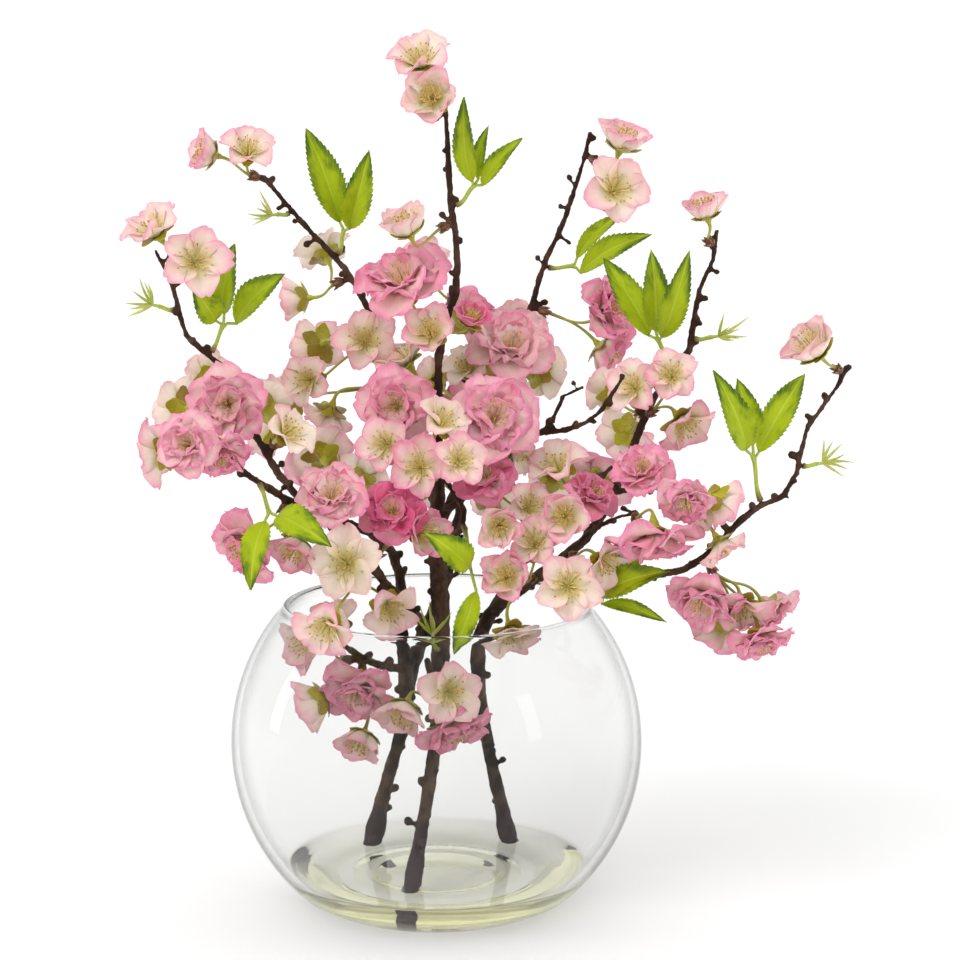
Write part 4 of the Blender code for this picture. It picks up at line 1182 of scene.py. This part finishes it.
class SPRIG_OT_resin(bpy.types.Operator):
    """Add the resin that fills the bottom of the vase"""

    bl_idname = "sprig.add_resin"
    bl_label = "Add Resin"

    def execute(self, context):
        settings = context.scene.sprig_vase
        side = arc(BALL_RADIUS - WALL + RESIN_LAP, INNER_HEIGHT, BASE_CURVE_TOP, RESIN_TOP + 1.1, 10)
        bottom = FLOOR - RESIN_LAP
        floor = corner((FLOOR_RADIUS - 6, bottom), (FLOOR_RADIUS + 2, bottom), side[0], 8)
        edge = side[-1][0]
        meniscus = [(edge - inset, RESIN_TOP + rise) for inset, rise in ((0.7, 0.45), (1.8, 0.1), (3.5, 0))]
        profile = [(0, bottom)] + floor + side[1:] + meniscus + [(0, RESIN_TOP)]
        mesh = finished_mesh(lathe(profile, settings.steps), "resin")
        made = clear_finish("resin", 0.02, 1.49, RESIN_SURFACE, RESIN_SURFACE)
        depth = made.nodes.new("ShaderNodeVolumeAbsorption")
        made.feed(depth.inputs["Color"], settings.resin_colour)
        made.feed(depth.inputs["Density"], RESIN_DENSITY)
        made.feed(made.nodes["Material Output"].inputs["Volume"], depth.outputs[0])
        add_piece("resin_fill", mesh, made.material, ["resin_water"])
        return {"FINISHED"}


# Studio


class SPRIG_OT_studio(bpy.types.Operator):
    """Add the floor, the light and the camera"""

    bl_idname = "sprig.add_studio"
    bl_label = "Add Studio"

    def execute(self, context):
        settings = context.scene.sprig_studio
        self.floor()
        self.light("sun", "SUN", settings.sun, (-1.2, -1.3, 1.9))
        self.light("window_right", "AREA", settings.window, (1.1, -0.75, 0.55))
        self.light("window_left", "AREA", settings.window, (-1.3, 0.2, 0.38))
        self.world(settings)
        self.camera(settings)
        self.paths(context.scene.cycles)
        context.scene.view_settings.view_transform = "Standard"
        return {"FINISHED"}

    def floor(self):
        shape = bmesh.new()
        bmesh.ops.create_circle(shape, cap_ends=True, segments=96, radius=PAPER_RADIUS)
        mesh = finished_mesh(shape, "floor")
        made = Finish("paper", 0.9, Specular_IOR_Level=0.1)
        made.colour((0.92, 0.92, 0.92))
        mesh.materials.append(made.material)
        floor = bpy.data.objects.new("floor", mesh)
        bpy.context.scene.collection.objects.link(floor)

    def light(self, name, kind, power, place):
        lamp = bpy.data.lights.new(name, kind)
        lamp.energy = power
        if kind == "SUN":
            lamp.angle = SUN_SPREAD
        else:
            lamp.shape = "RECTANGLE"
            lamp.size, lamp.size_y = WINDOW_SIZE
        made = bpy.data.objects.new(name, lamp)
        made.visible_glossy = kind == "AREA"
        made.visible_transmission = False
        made.location = place
        aim = LAMP_AIM - Vector(place)
        made.rotation_euler = aim.to_track_quat("-Z", "Y").to_euler()
        bpy.context.scene.collection.objects.link(made)

    def world(self, settings):
        """A pale room, a little dimmer to both sides."""
        world = bpy.data.worlds.new("room")
        bpy.context.scene.world = world
        world.use_nodes = True
        room = Shader(world.node_tree)
        side = room.maths("ABSOLUTE", room.parts(room.place("Generated"))[0])
        light = room.scaled(room.step(side, *SIDES), -SIDE_DIMNESS, 1.0)
        background = room.nodes["Background"]
        room.feed(background.inputs["Color"], (1.0, 1.0, 1.0))
        room.feed(background.inputs["Strength"], room.times(light, settings.sky))

    def paths(self, light):
        """Lets light bounce on until it has found its way out of the glass and resin."""
        light.max_bounces = CLEAR_BOUNCES
        light.transmission_bounces = CLEAR_BOUNCES
        light.glossy_bounces = OTHER_BOUNCES
        light.transparent_max_bounces = OTHER_BOUNCES

    def camera(self, settings):
        camera = bpy.data.objects.new("camera", bpy.data.cameras.new("camera"))
        camera.data.lens = settings.lens
        camera.data.sensor_width = 36.0
        camera.location = CAMERA_PLACE
        camera.rotation_euler = (math.pi / 2 - CAMERA_TILT, 0, 0)
        bpy.context.scene.collection.objects.link(camera)
        bpy.context.scene.camera = camera


class SPRIG_PT_panel(bpy.types.Panel):
    """Lists the pieces of the vase of blossom."""

    bl_idname = "SPRIG_PT_panel"
    bl_label = "Cherry Blossom Vase"
    bl_space_type = "VIEW_3D"
    bl_region_type = "UI"
    bl_category = "Blossom"

    def draw(self, context):
        for kind in OPERATORS:
            self.layout.operator(kind.bl_idname)


SETTINGS = {
    "sprig_blossoms": BlossomSettings,
    "sprig_leaves": LeafSettings,
    "sprig_wood": WoodSettings,
    "sprig_vase": VaseSettings,
    "sprig_studio": StudioSettings,
}
OPERATORS = (
    SPRIG_OT_wood,
    SPRIG_OT_blossoms,
    SPRIG_OT_stamens,
    SPRIG_OT_stalks,
    SPRIG_OT_leaves,
    SPRIG_OT_shoots,
    SPRIG_OT_vase,
    SPRIG_OT_resin,
    SPRIG_OT_studio,
)


def register():
    for kind in (*SETTINGS.values(), *OPERATORS, SPRIG_PT_panel):
        bpy.utils.register_class(kind)
    for name, kind in SETTINGS.items():
        setattr(bpy.types.Scene, name, PointerProperty(type=kind))


def unregister():
    for name in SETTINGS:
        delattr(bpy.types.Scene, name)
    for kind in reversed((*SETTINGS.values(), *OPERATORS, SPRIG_PT_panel)):
        bpy.utils.unregister_class(kind)


def main():
    register()
    bpy.ops.sprig.add_wood()
    bpy.ops.sprig.add_blossoms()
    bpy.ops.sprig.add_stamens()
    bpy.ops.sprig.add_stalks()
    bpy.ops.sprig.add_leaves()
    bpy.ops.sprig.add_shoots()
    bpy.ops.sprig.add_vase()
    bpy.ops.sprig.add_resin()
    bpy.ops.sprig.add_studio()


if __name__ == "__main__":
    main()
